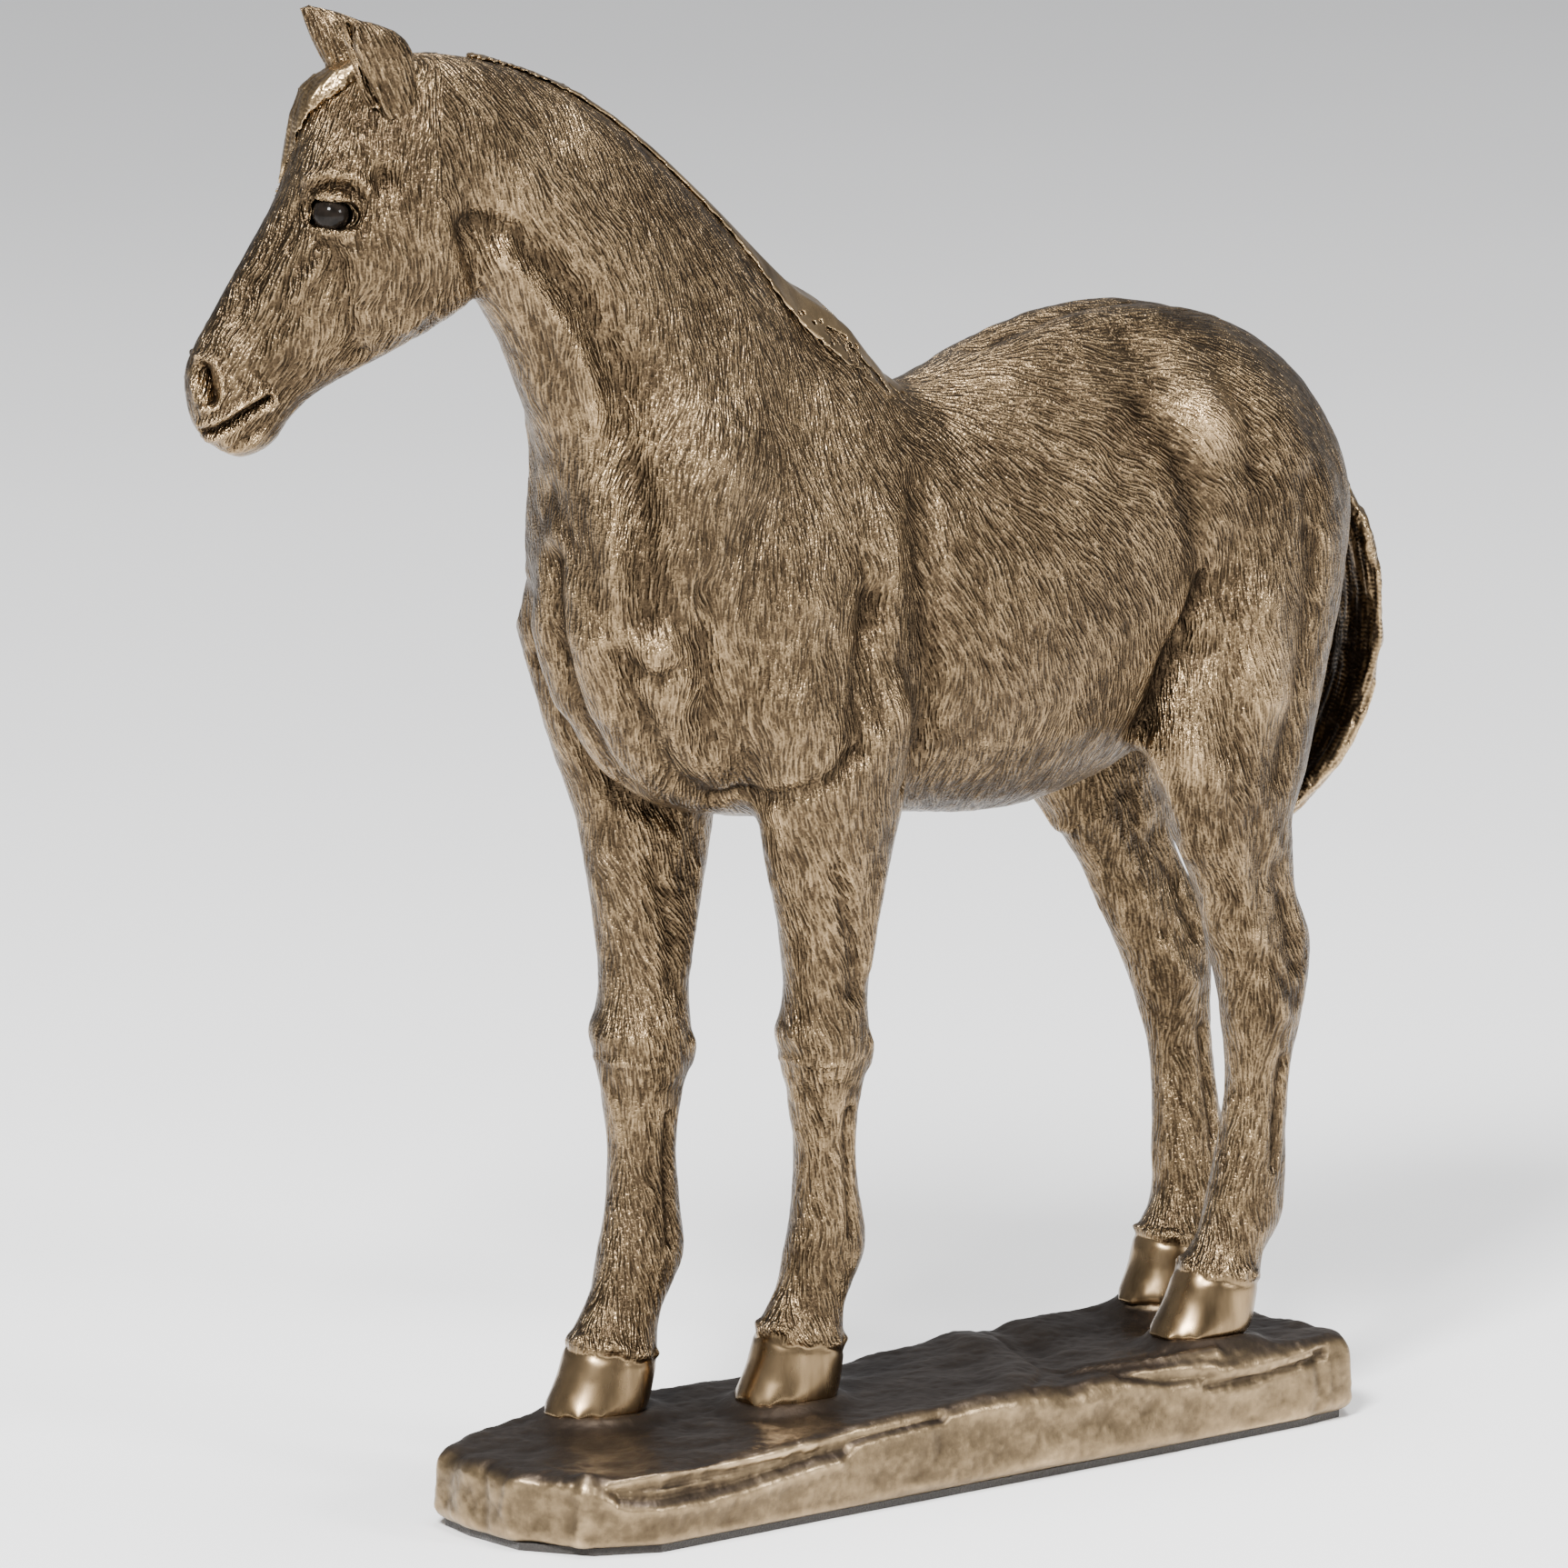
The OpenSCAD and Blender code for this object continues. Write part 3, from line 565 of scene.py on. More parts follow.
# %% The body's coat
LIE = [
    (-76, 200, 0.35, -0.9), (-60, 200, 0.4, -0.9), (-45, 190, 0.2, -1), (-70, 182, 0.35, -0.9),
    (-52, 165, -0.15, -1), (-30, 178, 0.25, -1), (-40, 150, -0.35, -0.9), (-18, 158, 0.15, -1),
    (-25, 132, 0, -1), (-8, 150, 0.3, -0.9), (-55, 120, 0.15, -1), (-30, 106, 0.1, -1),
    (6, 150, 0.6, -0.8), (6, 120, 0.35, -0.9), (10, 98, 0, -1), (22, 160, 1, -0.35),
    (28, 140, 0.7, -0.75), (30, 115, 0.35, -0.9), (32, 96, -0.1, -1), (40, 165, 1, 0),
    (43, 148, 0.6, -0.8), (52, 157, 1, 0.1), (60, 150, 0.7, -0.8), (66, 160, 0.8, -0.5),
    (60, 130, 0.1, -1), (78, 145, 0.4, -0.9), (76, 115, 0.1, -1), (50, 110, 0.1, -1),
    (56, 95, 0.2, -1), (60, 70, 0.15, -1), (64, 30, 0.1, -1), (-18, 84, 0.45, -0.9),
    (-20, 60, 0.2, -1), (-16, 30, 0.2, -1), (-38, 84, 0.5, -0.85), (-42, 50, 0.2, -1),
]
COAT_HEIGHT = 0.07
wandering(body, LIE, 13, 5, (21, 22, 23), 0.45)
tufts = combed(body.co, body.lie, 1.15, 3.2, 1)
clumps = combed(body.co, body.lie, 2.2, 5, 2)
coat = np.tanh(0.8 * tufts) + 0.5 * np.tanh(clumps)
body.co += body.normal * (COAT_HEIGHT * coat * (1 - horn))[:, None]
body.commit()
print("coat combed after", round(time.time() - started), "s")


# %% [markdown]
# The finish needs to know what is high and what is sunken at two scales. The strokes are one. The
# other is the form: a point that lies below the smoothed skin around it is in a hollow.

# %% Measuring hollows
def hollow(skin, rounds):
    """How far each point lies under the smoothed skin around it, in millimetres"""
    soft = skin.co
    for _ in range(rounds):
        soft = soft + 0.6 * (neighbour_mean(soft, skin.pairs) - soft)
    return ((soft - skin.co) * skin.normal).sum(1)


def keep_attribute(mesh, name, values):
    layer = mesh.attributes.get(name) or mesh.attributes.new(name, "FLOAT", "POINT")
    layer.data.foreach_set("value", values.astype(np.float32))


def patina_and_painted_light(skin, relief, rounds=40, rubbed_and_painted_light=0):
    """Stores the level of the finish at each point: 0 in a sunken stroke, where the patina is dark,
    and 1 on a height that rubbing brings out, with painted light from the last argument added:
    painted highlights on the body, painted shade on the tail
    """
    wide = hollow(skin, rounds)
    wear_and_painted_light = 0.5 + rubbed_and_painted_light + 0.04 * relief - 0.6 * hollow(skin, 3) - 0.45 * wide
    keep_attribute(skin.mesh, "wear_and_painted_light", np.clip(wear_and_painted_light, 0, 1))
    return wear_and_painted_light


def keep_lie(skin):
    """Stores the lie of the hair, turned as the piece will be"""
    turn = np.array(to_row.to_3x3().normalized())
    layer = skin.mesh.attributes.new("lie", "FLOAT_VECTOR", "POINT")
    layer.data.foreach_set("vector", (skin.lie @ turn.T).astype(np.float32).ravel())


# Painted highlights on the points that stand out furthest: (x, z, radius, how much)
PAINTED_HIGHLIGHTS = [(51, 150, 6, 0.45), (-20, 152, 11, 0.18), (-62, 203, 9, 0.22), (47, 98, 5, 0.25),
          (-51, 124, 3, 0.1), (-27, 122, 8, 0.1), (60, 108, 7, 0.16), (14, 156, 9, 0.12),
          (76, 148, 7, 0.12), (-58, 160, 6, 0.15)]
rubbed_and_painted_light = np.zeros(len(body.co))
for x, z, radius, much in PAINTED_HIGHLIGHTS:
    rubbed_and_painted_light += much * np.exp(-((body.co[:, 0] - x) ** 2 + (body.co[:, 2] - z) ** 2) / radius ** 2)
# The painted highlights raise the finish's level, so these points come out golden and bright
wear_and_painted_light = patina_and_painted_light(body, coat * (1 - horn), rubbed_and_painted_light=rubbed_and_painted_light)
keep_lie(body)
keep_attribute(body.mesh, "polished", horn)
print("worn, lowest to highest:", round(float(wear_and_painted_light.min()), 2), round(float(wear_and_painted_light.max()), 2))

# %% [markdown]
# ## The head
# The face has the finest forms, so its clay starts from smaller voxels. The neck is in it as well,
# so that both skins agree where the two castings meet at the poll.

# %% The head's clay
HEAD_VOXEL = 1.1
head = Clay(clay(("head", "neck"), HEAD_VOXEL, 8, 2), 1.25)


def face(stops, width, height):
    head.stroke(stops, width, height, HEAD_AXES)


def face_dab(along, up, width, height):
    head.dab(along, up, width, height, HEAD_AXES)


# %% [markdown]
# A horse's skull shows through: a cheek like a disc, a crest of bone below the eye, a long nose
# bone and the hollow above the eye. These are laid in before the eye, the nostril and the mouth.

# %% Bones of the face
face([(-2.7, 196), (-5.2, 191), (-6.4, 185), (-5, 181)], 1.2, -1.1)
face([(-1, 194), (-3, 188), (-3, 182), (0, 178.4), (4, 174.6)], 1.4, 0.5)
face([(16, 187), (14.4, 180), (12.6, 174), (11.4, 171)], 1.9, -0.9)
face([(13.6, 190), (18, 185), (21.6, 180)], 1.2, 0.65)
face([(14.4, 186.6), (18.6, 181.6)], 1.3, -0.35)
face([(21.4, 193), (23.8, 188.6), (27, 182.6), (30, 177)], 1.5, -0.6)
face([(24, 178), (27, 173)], 2.0, -0.45)
face([(19, 176), (24, 171.5)], 2.2, 0.35)
face_dab(7.6, 186, 5, 0.7)
face_dab(8.2, 198.2, 2.0, -1.3)
face_dab(5.8, 200.6, 1.5, 0.5)
face_dab(3, 205, 3, 0.4)
face_dab(11.5, 203.5, 3, 0.45)
print("bones of the face done")

# %% Eyes: the socket, the lids and the brow
INNER_CORNER, OUTER_CORNER = (19.9, 193.2), (11.4, 192.4)
face([(18.6, 193.3), (13.2, 192.8)], 1.9, -1.9)
UPPER_LID = [(19.0, 195.0), (17.2, 196.1), (14.8, 195.9), (12.8, 194.6)]
LOWER_LID = [(18.9, 191.3), (16.8, 190.1), (14.2, 190.2), (12.4, 191.2)]
for lid, height in ((UPPER_LID, 1.0), (LOWER_LID, 0.75)):
    face([INNER_CORNER, *lid, OUTER_CORNER], 0.62, height)
face([(19.2, 196.4), (16.4, 197.6), (13.2, 197.0), (11.2, 195.2)], 0.5, -0.5)
face([(19.4, 198.2), (16.2, 199.4), (12.6, 198.8), (10.4, 197.2)], 1.0, 0.8)
face([(18.6, 188.9), (16.2, 187.9), (13.4, 188.6)], 0.5, -0.35)
face([(18.4, 187.6), (15.8, 186.6), (13, 187.4)], 0.7, 0.25)
face([(20.1, 192.8), (21.3, 190.2), (22.4, 187.6)], 0.6, -0.45)
print("eyes done")

# %% Muzzle: nostrils, mouth and chin
face([(35.3, 168.9), (34.7, 166.8), (34.2, 165.2)], 1.05, -2.6)
face([(35.6, 170.6), (33.6, 170.4), (32.5, 168.4), (32.4, 165.8), (33.4, 163.6), (35.2, 163.2)],
     0.7, 0.75)
face([(36.2, 164.4), (36.7, 167.0)], 0.6, 0.35)
face_dab(30.6, 172, 2.2, 0.55)
face([(36.4, 158.9), (33.6, 159.8), (30.8, 161.3), (28, 163.1), (25.2, 164.5)], 0.55, -1.1)
face([(35.6, 160.6), (32.6, 161.8), (29.8, 163.3), (26.6, 165.2)], 0.75, 0.5)
face([(34.4, 158.0), (31.4, 159.4), (28.6, 161.2), (25.6, 162.9)], 0.65, 0.35)
face([(24.8, 165.4), (23.9, 164.0), (24.8, 162.8)], 0.55, 0.5)
face([(30.6, 156.6), (29.0, 158.2), (26.6, 159.6)], 0.6, -0.45)
face_dab(27.4, 157.6, 1.8, 0.45)
face([(27.4, 168.6), (25.4, 166.4)], 0.5, -0.35)
face([(29.6, 167.4), (27.4, 165.0)], 0.5, -0.3)
head.commit()
print("muzzle done")

# %% [markdown]
# The face has shorter hair than the body, and the muzzle has hardly any: its skin is pebbled.

# %% The face's coat
FACE_LIE = [(-76, 205, 0.3, -0.95), (-88, 200, -0.2, -1), (-92, 186, 0.15, -1),
            (-84, 186, 0.25, -1),
            (-100, 180, -0.35, -0.9), (-108, 168, -0.4, -0.9), (-100, 205, -0.4, -0.9)]
wandering(head, FACE_LIE, 8, 4, (31, 32, 33), 0.5)
from_poll = (head.co - np.array(POLL)) @ np.array(OUT)
muzzle = np.clip((from_poll - 24) / 6, 0, 1)
neck_share = np.clip(-from_poll / 4, 0, 1)
tufts = combed(head.co, head.lie, 0.7, 2.6, 1)
body_tufts = combed(head.co, head.lie, 0.85, 3.4, 1)
pebbles = even(noise(head.co, 0.9, 4) + noise(head.co, 1.8, 6))
relief = np.tanh(0.8 * tufts) * (1 - neck_share) + np.tanh(0.8 * body_tufts) * neck_share
relief = relief * (0.75 - 0.55 * muzzle) + 0.45 * muzzle * np.tanh(pebbles)
eye_spots = [np.array(to_horse @ middle(name)) for name in ("left_eye", "right_eye")]
by_eye = np.min([((head.co - spot) ** 2).sum(1) for spot in eye_spots], axis=0)
relief *= 1 - 0.8 * np.exp(-by_eye / 4.4 ** 2)
head.co += head.normal * (0.08 * relief)[:, None]
head.commit()
patina_and_painted_light(head, relief)
keep_lie(head)
print("face combed after", round(time.time() - started), "s")

# %% [markdown]
# ## Cutting the clay into castings
# The clay is cut where the foundry cuts it. Each cut splits the faces that it meets, each face is
# given to a casting by where its middle lies, and the open ends are closed.

# %% Cuts
KNEES = 76
BARREL_CUT = (Vector((12, 0, 159.7)), Vector((71.2, 0, 2)).normalized())
NECK_CUT = (Vector((-31, 0, 187)), Vector((-45.3, 0, 30.8)).normalized())
POLL_LINE = Vector((-1.5, 0, -32.8))
POLL_CUT = (Vector((-80.5, 3, 216.1)), ACROSS.cross(POLL_LINE).normalized())
if POLL_CUT[1].dot(OUT) < 0:
    POLL_CUT = (POLL_CUT[0], -POLL_CUT[1])
LEG_MARGIN = 3


def leg_area(name):
    """The block that a leg's casting stands in, and the height of its top"""
    co = casting_points(name)
    top = co[:, 2].max()
    band = co[co[:, 2] > top - 12]
    low, high = band[:, :2].min(0) - LEG_MARGIN, band[:, :2].max(0) + LEG_MARGIN
    return low, high, top


def inside(area, x, y):
    low, high, _ = area
    return (x > low[0]) & (x < high[0]) & (y > low[1]) & (y < high[1])


def beyond(co, cut):
    return (co - np.array(cut[0])) @ np.array(cut[1]) > 0


def bisect(bm, cut, keep):
    """Splits the faces that a plane meets, among those whose middle passes a test"""
    here, way = cut
    faces = [f for f in bm.faces if abs((f.calc_center_median() - here).dot(way)) < 2
             and keep(f.calc_center_median())]
    edges = list({e for f in faces for e in f.edges})
    verts = list({v for f in faces for v in f.verts})
    bmesh.ops.bisect_plane(bm, geom=verts + edges + faces, dist=1e-4, plane_co=here, plane_no=way,
                           clear_inner=False, clear_outer=False)


def cut_up(mesh, cuts):
    """Makes each cut of a list of (plane, test)"""
    bm = bmesh.new()
    bm.from_mesh(mesh)
    for cut, keep in cuts:
        bisect(bm, cut, keep)
    bm.to_mesh(mesh)
    bm.free()


areas = {name: leg_area(name) for name in LEGS}
print("leg blocks:", {name: round(float(area[2]), 1) for name, area in areas.items()})


# %% [markdown]
# Blender can separate a mesh by material number, which is quick even on half a million faces. So
# each face gets its casting's number, and the pieces are told apart by it afterwards.

# %% From clay to castings
def separated(mesh, owners, names):
    """One object per casting, cut from the mesh by each face's owner"""
    mesh.polygons.foreach_set("material_index", owners.astype(np.int32))
    mesh.attributes.new("owner", "INT", "FACE").data.foreach_set("value", owners.astype(np.int32))
    obj = linked("whole", mesh)
    for _ in names:
        mesh.materials.append(None)
    bpy.ops.object.select_all(action="DESELECT")
    obj.select_set(True)
    bpy.context.view_layer.objects.active = obj
    bpy.ops.object.mode_set(mode="EDIT")
    bpy.ops.mesh.select_all(action="SELECT")
    bpy.ops.mesh.separate(type="MATERIAL")
    bpy.ops.object.mode_set(mode="OBJECT")
    pieces = {}
    for part in list(bpy.context.selected_objects):
        part.select_set(False)
        label = part.data.attributes["owner"]
        pieces[names[label.data[0].value]] = part
        part.data.attributes.remove(label)
    return pieces


def closed(obj):
    """Closes the open ends with flat faces, sharp at their rims, and puts the piece in its place"""
    bm = bmesh.new()
    bm.from_mesh(obj.data)
    rims = [e for e in bm.edges if e.is_boundary]
    bmesh.ops.holes_fill(bm, edges=rims, sides=0)
    for edge in rims:
        edge.smooth = False
    caps = [f for f in bm.faces if len(f.verts) > 8]
    bmesh.ops.triangulate(bm, faces=caps)
    bm.transform(to_row)
    bm.to_mesh(obj.data)
    left = sum(1 for e in bm.edges if not e.is_manifold)
    bm.free()
    obj.data.materials.clear()
    obj.data.polygons.foreach_set("material_index", np.zeros(len(obj.data.polygons), np.int32))
    return left


def finished(obj, name, nodes):
    """Names a piece and ties it to the frame"""
    obj.name = name
    obj.data.name = name
    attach(obj, "root")
    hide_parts(*nodes)
    triangles = sum(len(p.vertices) - 2 for p in obj.data.polygons)
    print(f"{name}: {triangles} triangles")
    return obj


def cast_of(skin, name, nodes, matrix=to_row):
    """The finished piece of a skin that needs no cut"""
    obj = linked(name, skin.mesh)
    skin.mesh.transform(matrix)
    return finished(obj, name, nodes)


# %% The body's castings
HEAD_CUTS = [(POLL_CUT, lambda p: p.z > 170)]
LEG_CUTS = [((Vector((0, 0, area[2])), Vector((0, 0, 1))),
             lambda p, area=area: inside(area, p.x, p.y)) for area in areas.values()]
cut_up(body.mesh, [(BARREL_CUT, lambda p: True), (NECK_CUT, lambda p: p.z > 125)]
       + HEAD_CUTS + LEG_CUTS)

CASTINGS = ["front_body", "rear_body", "neck", "throat"] + list(LEGS)
centre = read(body.mesh.polygons, "center")
owner = np.where(beyond(centre, BARREL_CUT), 1, 0)
in_neck = beyond(centre, NECK_CUT) & (centre[:, 2] > 120)
owner[in_neck] = 2
owner[in_neck & beyond(centre, POLL_CUT) & (centre[:, 2] > 150)] = 3
gaps = np.stack([legs[name].gap(centre) for name in LEGS])
low_down = centre[:, 2] < KNEES
owner[low_down] = gaps.argmin(0)[low_down] + 4
for number, name in enumerate(LEGS, 4):
    area = areas[name]
    at_top = inside(area, centre[:, 0], centre[:, 1]) & (centre[:, 2] < area[2])
    owner[at_top & (gaps.argmin(0) == number - 4)] = number
print("faces for each casting:", dict(zip(CASTINGS, np.bincount(owner, minlength=8).tolist())))

# %% [markdown]
# The two body castings carry more faces than a model file should. Collapsing thins them where the
# skin is flat and leaves the strokes, which a coarser skin would have blurred.

# %% The pieces
MOST_TRIANGLES = 190000


def casting(obj, name):
    """Thins a cut piece, closes it and ties it to the frame"""
    count = sum(len(p.vertices) - 2 for p in obj.data.polygons)
    if count > MOST_TRIANGLES:
        obj.data = modified(obj.data.copy(), "DECIMATE", ratio=MOST_TRIANGLES / count)
        obj.data.shade_smooth()
    print(name, "open edges left:", closed(obj))
    return finished(obj, name + "_cast", [name])


pieces = separated(body.mesh, owner, CASTINGS)
bpy.data.objects.remove(pieces.pop("throat"))
for name, obj in pieces.items():
    casting(obj, name)

cut_up(head.mesh, HEAD_CUTS)
centre = read(head.mesh.polygons, "center")
owner = np.where(beyond(centre, POLL_CUT) & (centre[:, 2] > 150), 0, 1)
parts = separated(head.mesh, owner, ["head", "neck"])
bpy.data.objects.remove(parts["neck"])
pieces["head"] = casting(parts["head"], "head")
print("castings done after", round(time.time() - started), "s")

# %% [markdown]
# ## Ears
# An ear is a leaf rolled into a scoop. The CAD leaf is skinned finely, and a deep stroke down its
# front opens the scoop, with a raised rim on each side.

# %% Ears
EAR_VOXEL = 0.45
EAR_SLIT = {"left_ear": [(13.4, 221.4), (13.2, 218), (11.6, 214), (9.6, 210), (8.4, 207)],
            "right_ear": [(16.6, 221.2), (15.6, 218), (13.4, 214), (11.0, 210), (9.4, 207)]}


def ear(name, side):
    skin = Clay(clay((name,), EAR_VOXEL, 4, 1))
    slit = EAR_SLIT[name]
    for ahead, width, height in ((0.2, 0.8, -2.0), (-1.5, 0.6, 0.45), (1.5, 0.5, 0.3)):
        skin.stroke([(along + ahead, up) for along, up in slit], width, height, HEAD_AXES, (side,))
    skin.commit()
    lie = np.tile(np.array(OUT) * 0.45 + np.array((0, 0, 1)), (len(skin.co), 1))
    skin.lie = along_skin(lie, skin.normal)
    tufts = np.tanh(0.8 * combed(skin.co, skin.lie, 0.6, 3, 7))
    skin.co += skin.normal * (0.08 * tufts)[:, None]
    skin.commit()
    patina_and_painted_light(skin, tufts, 14)
    keep_lie(skin)
    return cast_of(skin, name + "_cast", [name])


pieces["left_ear"] = ear("left_ear", -1)
pieces["right_ear"] = ear("right_ear", 1)

# %% [markdown]
# ## Long hair
# Forelock, mane and tail are locks: long strands lying side by side. The same comb makes them,
# with strokes several times longer, and a second, wider comb gathers the strands into locks.

# %% Strands
def locks(name, lie_of, voxel, depth, strand, lock, length, smooth=None):
    """Skins a casting of long hair and combs it, but not where it is smooth"""
    skin = Clay(clay((name,), voxel, 8, 1))
    skin.lie = along_skin(lie_of(skin.co), skin.normal)
    strands = combed(skin.co, skin.lie, strand, length, 11, round(length / strand))
    gathered = combed(skin.co, skin.lie, lock, length * 1.5, 12, round(length / strand))
    relief = 0.45 * np.tanh(strands) + 0.9 * np.tanh(1.3 * gathered)
    if smooth is not None:
        rolled = smooth(skin.co)
        relief *= 1 - rolled
        keep_attribute(skin.mesh, "polished", rolled)
    skin.co += skin.normal * (depth * relief)[:, None]
    skin.commit()
    # On the tail, the side that faces forwards into the gap by the buttocks is painted darker:
    # painted shade, passed on as a lower level of the finish
    shaded = np.clip(-1.4 * skin.normal[:, 0], 0, 1) if name == "tail" else 0
    patina_and_painted_light(skin, 1.2 * relief, 14, -0.5 * shaded)
    keep_lie(skin)
    return cast_of(skin, name + "_cast", [name])


def forelock_lie(co):
    """Down the forehead, fanning out to both sides"""
    side = (co - np.array(POLL)) @ np.array(ACROSS)
    return np.array(OUT) * 0.5 - np.array((0, 0, 1)) + np.outer(side * 0.06, np.array(ACROSS))


def mane_lie(co):
    """Along the crest on the left of it, then down the right side"""
    over = np.clip((co[:, 1] - 1) / 7, 0, 1)[:, None]
    crest = np.array((0.8, -0.05, -0.62))
    fall = np.array((0.35, 0.3, -1.0))
    return crest * (1 - over) + fall * over


def tail_lie(co):
    """Around the curve of the tail, whose middle lies well ahead of it"""
    hub = np.array((62, -1, 112))
    arm = co - hub
    return np.stack([arm[:, 2], np.zeros(len(co)), -arm[:, 0]], 1)


def rolled_over(co):
    """1 on the left of the crest, where the mane is a smooth roll, and 0 on the right"""
    return np.clip(1 - co[:, 1] / 2.5, 0, 1)


pieces["forelock"] = locks("forelock", forelock_lie, 0.5, 0.2, 0.7, 1.5, 8)
pieces["mane"] = locks("mane", mane_lie, 0.55, 0.2, 0.9, 2.2, 12, rolled_over)
pieces["tail"] = locks("tail", tail_lie, 0.6, 0.3, 0.9, 2.2, 16)

# %% [markdown]
# ## The rock
# The rock is modelled like the horse: a smoothed skin over the CAD casting, then ledges, cracks
# and facets, then a rough grain. The rock rises a little around each hoof, as if the hoof were
# bedded in it. The hooves' seats and the flat underside are left alone.

# %% The rock's clay
in_mm = Matrix.Scale(1 / MM, 4)
rock = Clay(clay(("base_casting",), 1.0, 3, 1, in_mm))
rock_low, rock_high = (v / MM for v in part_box("base_casting"))
soles = [(to_row @ legs[name].middle(legs[name].sole + 2)) / MM for name in LEGS]


# Ledges, cracks and facets, each as (a path, width, height)
ROCK_EDGES = [
    ([(-72, -17, 10.6), (-63, -21, 11), (-50, -21, 11), (-38, -21, 11.6), (-24, -20, 12.6),
      (-8, -20, 13.4)], 0.9, -0.9),
    ([(-71, -18, 9.2), (-62, -21, 8.8), (-50, -21, 9.2), (-40, -21, 10.2),
      (-28, -21, 11.4)], 1.0, -1.0),
    ([(-68, -20, 10), (-56, -21, 10), (-44, -21, 10.6), (-32, -21, 11.6)], 0.6, 0.5),
    ([(-72, -17, 12), (-60, -20, 12.4), (-46, -20, 12.4), (-34, -20, 13)], 0.9, 0.6),
    ([(-73, -17, 9), (-70, -20, 7.2), (-58, -21, 6.6), (-44, -21, 7.6), (-30, -21, 9.2)], 1.6, 0.7),
    ([(-74, -13, 12), (-75, -14.5, 8), (-76, -14, 3)], 1.6, 0.9),
    ([(-80, 4, 12), (-82, 3, 7), (-82, 3, 3)], 1.3, -0.5),
    ([(-79, -8, 10.5), (-80, -8, 7), (-80, -7, 4)], 3.0, -0.9),
    ([(-80, 13, 12), (-82, 13, 6)], 2.4, -0.5),
    ([(-77, -12, 11.6), (-80, -8, 12), (-81, -3, 11), (-81, -2, 6)], 1.0, 0.5),
    ([(28, 20, 15), (26, 7, 15), (20, -4, 15), (15, -11, 15), (7, -18, 14)], 4.5, 0.9),
    ([(37, 20, 15), (34, 7, 15), (29, -4, 15), (24, -12, 15), (18, -19, 14)], 3.0, -0.7),
    ([(33, 20, 15), (30, 7, 15), (25, -4, 15), (20, -12, 15), (11, -19, 14)], 0.8, -0.4),
    ([(2, -18, 14), (-10, -19, 14), (-24, -19, 13.6)], 3.0, 0.5),
    ([(24, -13, 15), (32, -16, 15), (41, -18, 14.6), (50, -19, 14)], 0.8, 0.9),
    ([(30, -19, 13.6), (38, -21, 12.4), (48, -22, 11.6)], 1.0, -0.7),
    ([(24, -9, 15), (34, -12, 15), (44, -14, 15)], 1.6, -0.6),
    ([(46, -22, 10.2), (57, -22, 9.8), (66, -22, 10.8), (72, -20, 11.4)], 0.7, -0.8),
    ([(48, -22, 12.0), (60, -22, 12), (70, -21, 12.6)], 1.4, 0.6),
    ([(70, -20, 12), (71, -21, 7), (70, -21, 3)], 1.2, -0.4),
    ([(-8, -21, 10), (14, -21, 8.6), (36, -22, 8)], 2.6, -0.5),
    ([(-40, 25, 11), (-10, 23, 9), (24, 21, 10), (56, 23, 8)], 1.4, -0.9),
    ([(-66, 21, 9), (-48, 25, 7), (-30, 25, 8)], 2.0, -0.7),
    ([(6, 22, 14), (8, 23, 8), (5, 22, 3)], 1.4, -0.5),
    ([(82, -8, 11), (82, -6, 6), (82, -9, 3)], 2.0, -0.6),
    ([(82, 6, 12), (82, 8, 5)], 1.4, 0.6),
]
for stops, width, height in ROCK_EDGES:
    fold(rock, stops, width, height)
rock.commit()
print("ledges and cracks done")

# %% The rock's grain
BED = 1.2
top_share = np.clip((rock.normal[:, 2] - 0.3) / 0.5, 0, 1)
free = np.clip((rock.co[:, 2] - rock_low.z - 0.6) / 1.2, 0, 1)
free *= rock.normal[:, 2] > -0.5
bed = np.zeros(len(rock.co))
for sole in soles:
    ahead, aside = rock.co[:, 0] - sole.x, rock.co[:, 1] - sole.y
    ring = np.hypot(ahead / 9, aside / 7.6)
    at_foot = rock.co[:, 2] > rock_high.z - 6
    free *= np.where(at_foot, np.clip((ring - 1) / 0.35, 0, 1), 1)
    bed += np.where(at_foot, np.exp(-((ring - 1) / 0.26) ** 2), 0)
swell = noise(rock.co, 15, 41) * (0.5 - 0.2 * top_share) + noise(rock.co, 6, 42) * 0.25
chips = noise(rock.co * np.array((0.6, 1, 1)), 2.6, 43)
grit = noise(rock.co, 1.1, 44)
relief = 0.17 * chips + 0.1 * grit
rock.co[:, 2] += BED * bed
rock.co += rock.normal * (free * (swell + relief))[:, None]
rock.commit()
patina_and_painted_light(rock, even(relief) * 0.8, 30)
keep_attribute(rock.mesh, "top", np.clip((rock.normal[:, 2] - 0.45) / 0.35, 0, 1))
pieces["base_casting"] = cast_of(rock, "rock_cast", ["base_casting"],
                                 Matrix.Scale(MM, 4))
print("rock done after", round(time.time() - started), "s")
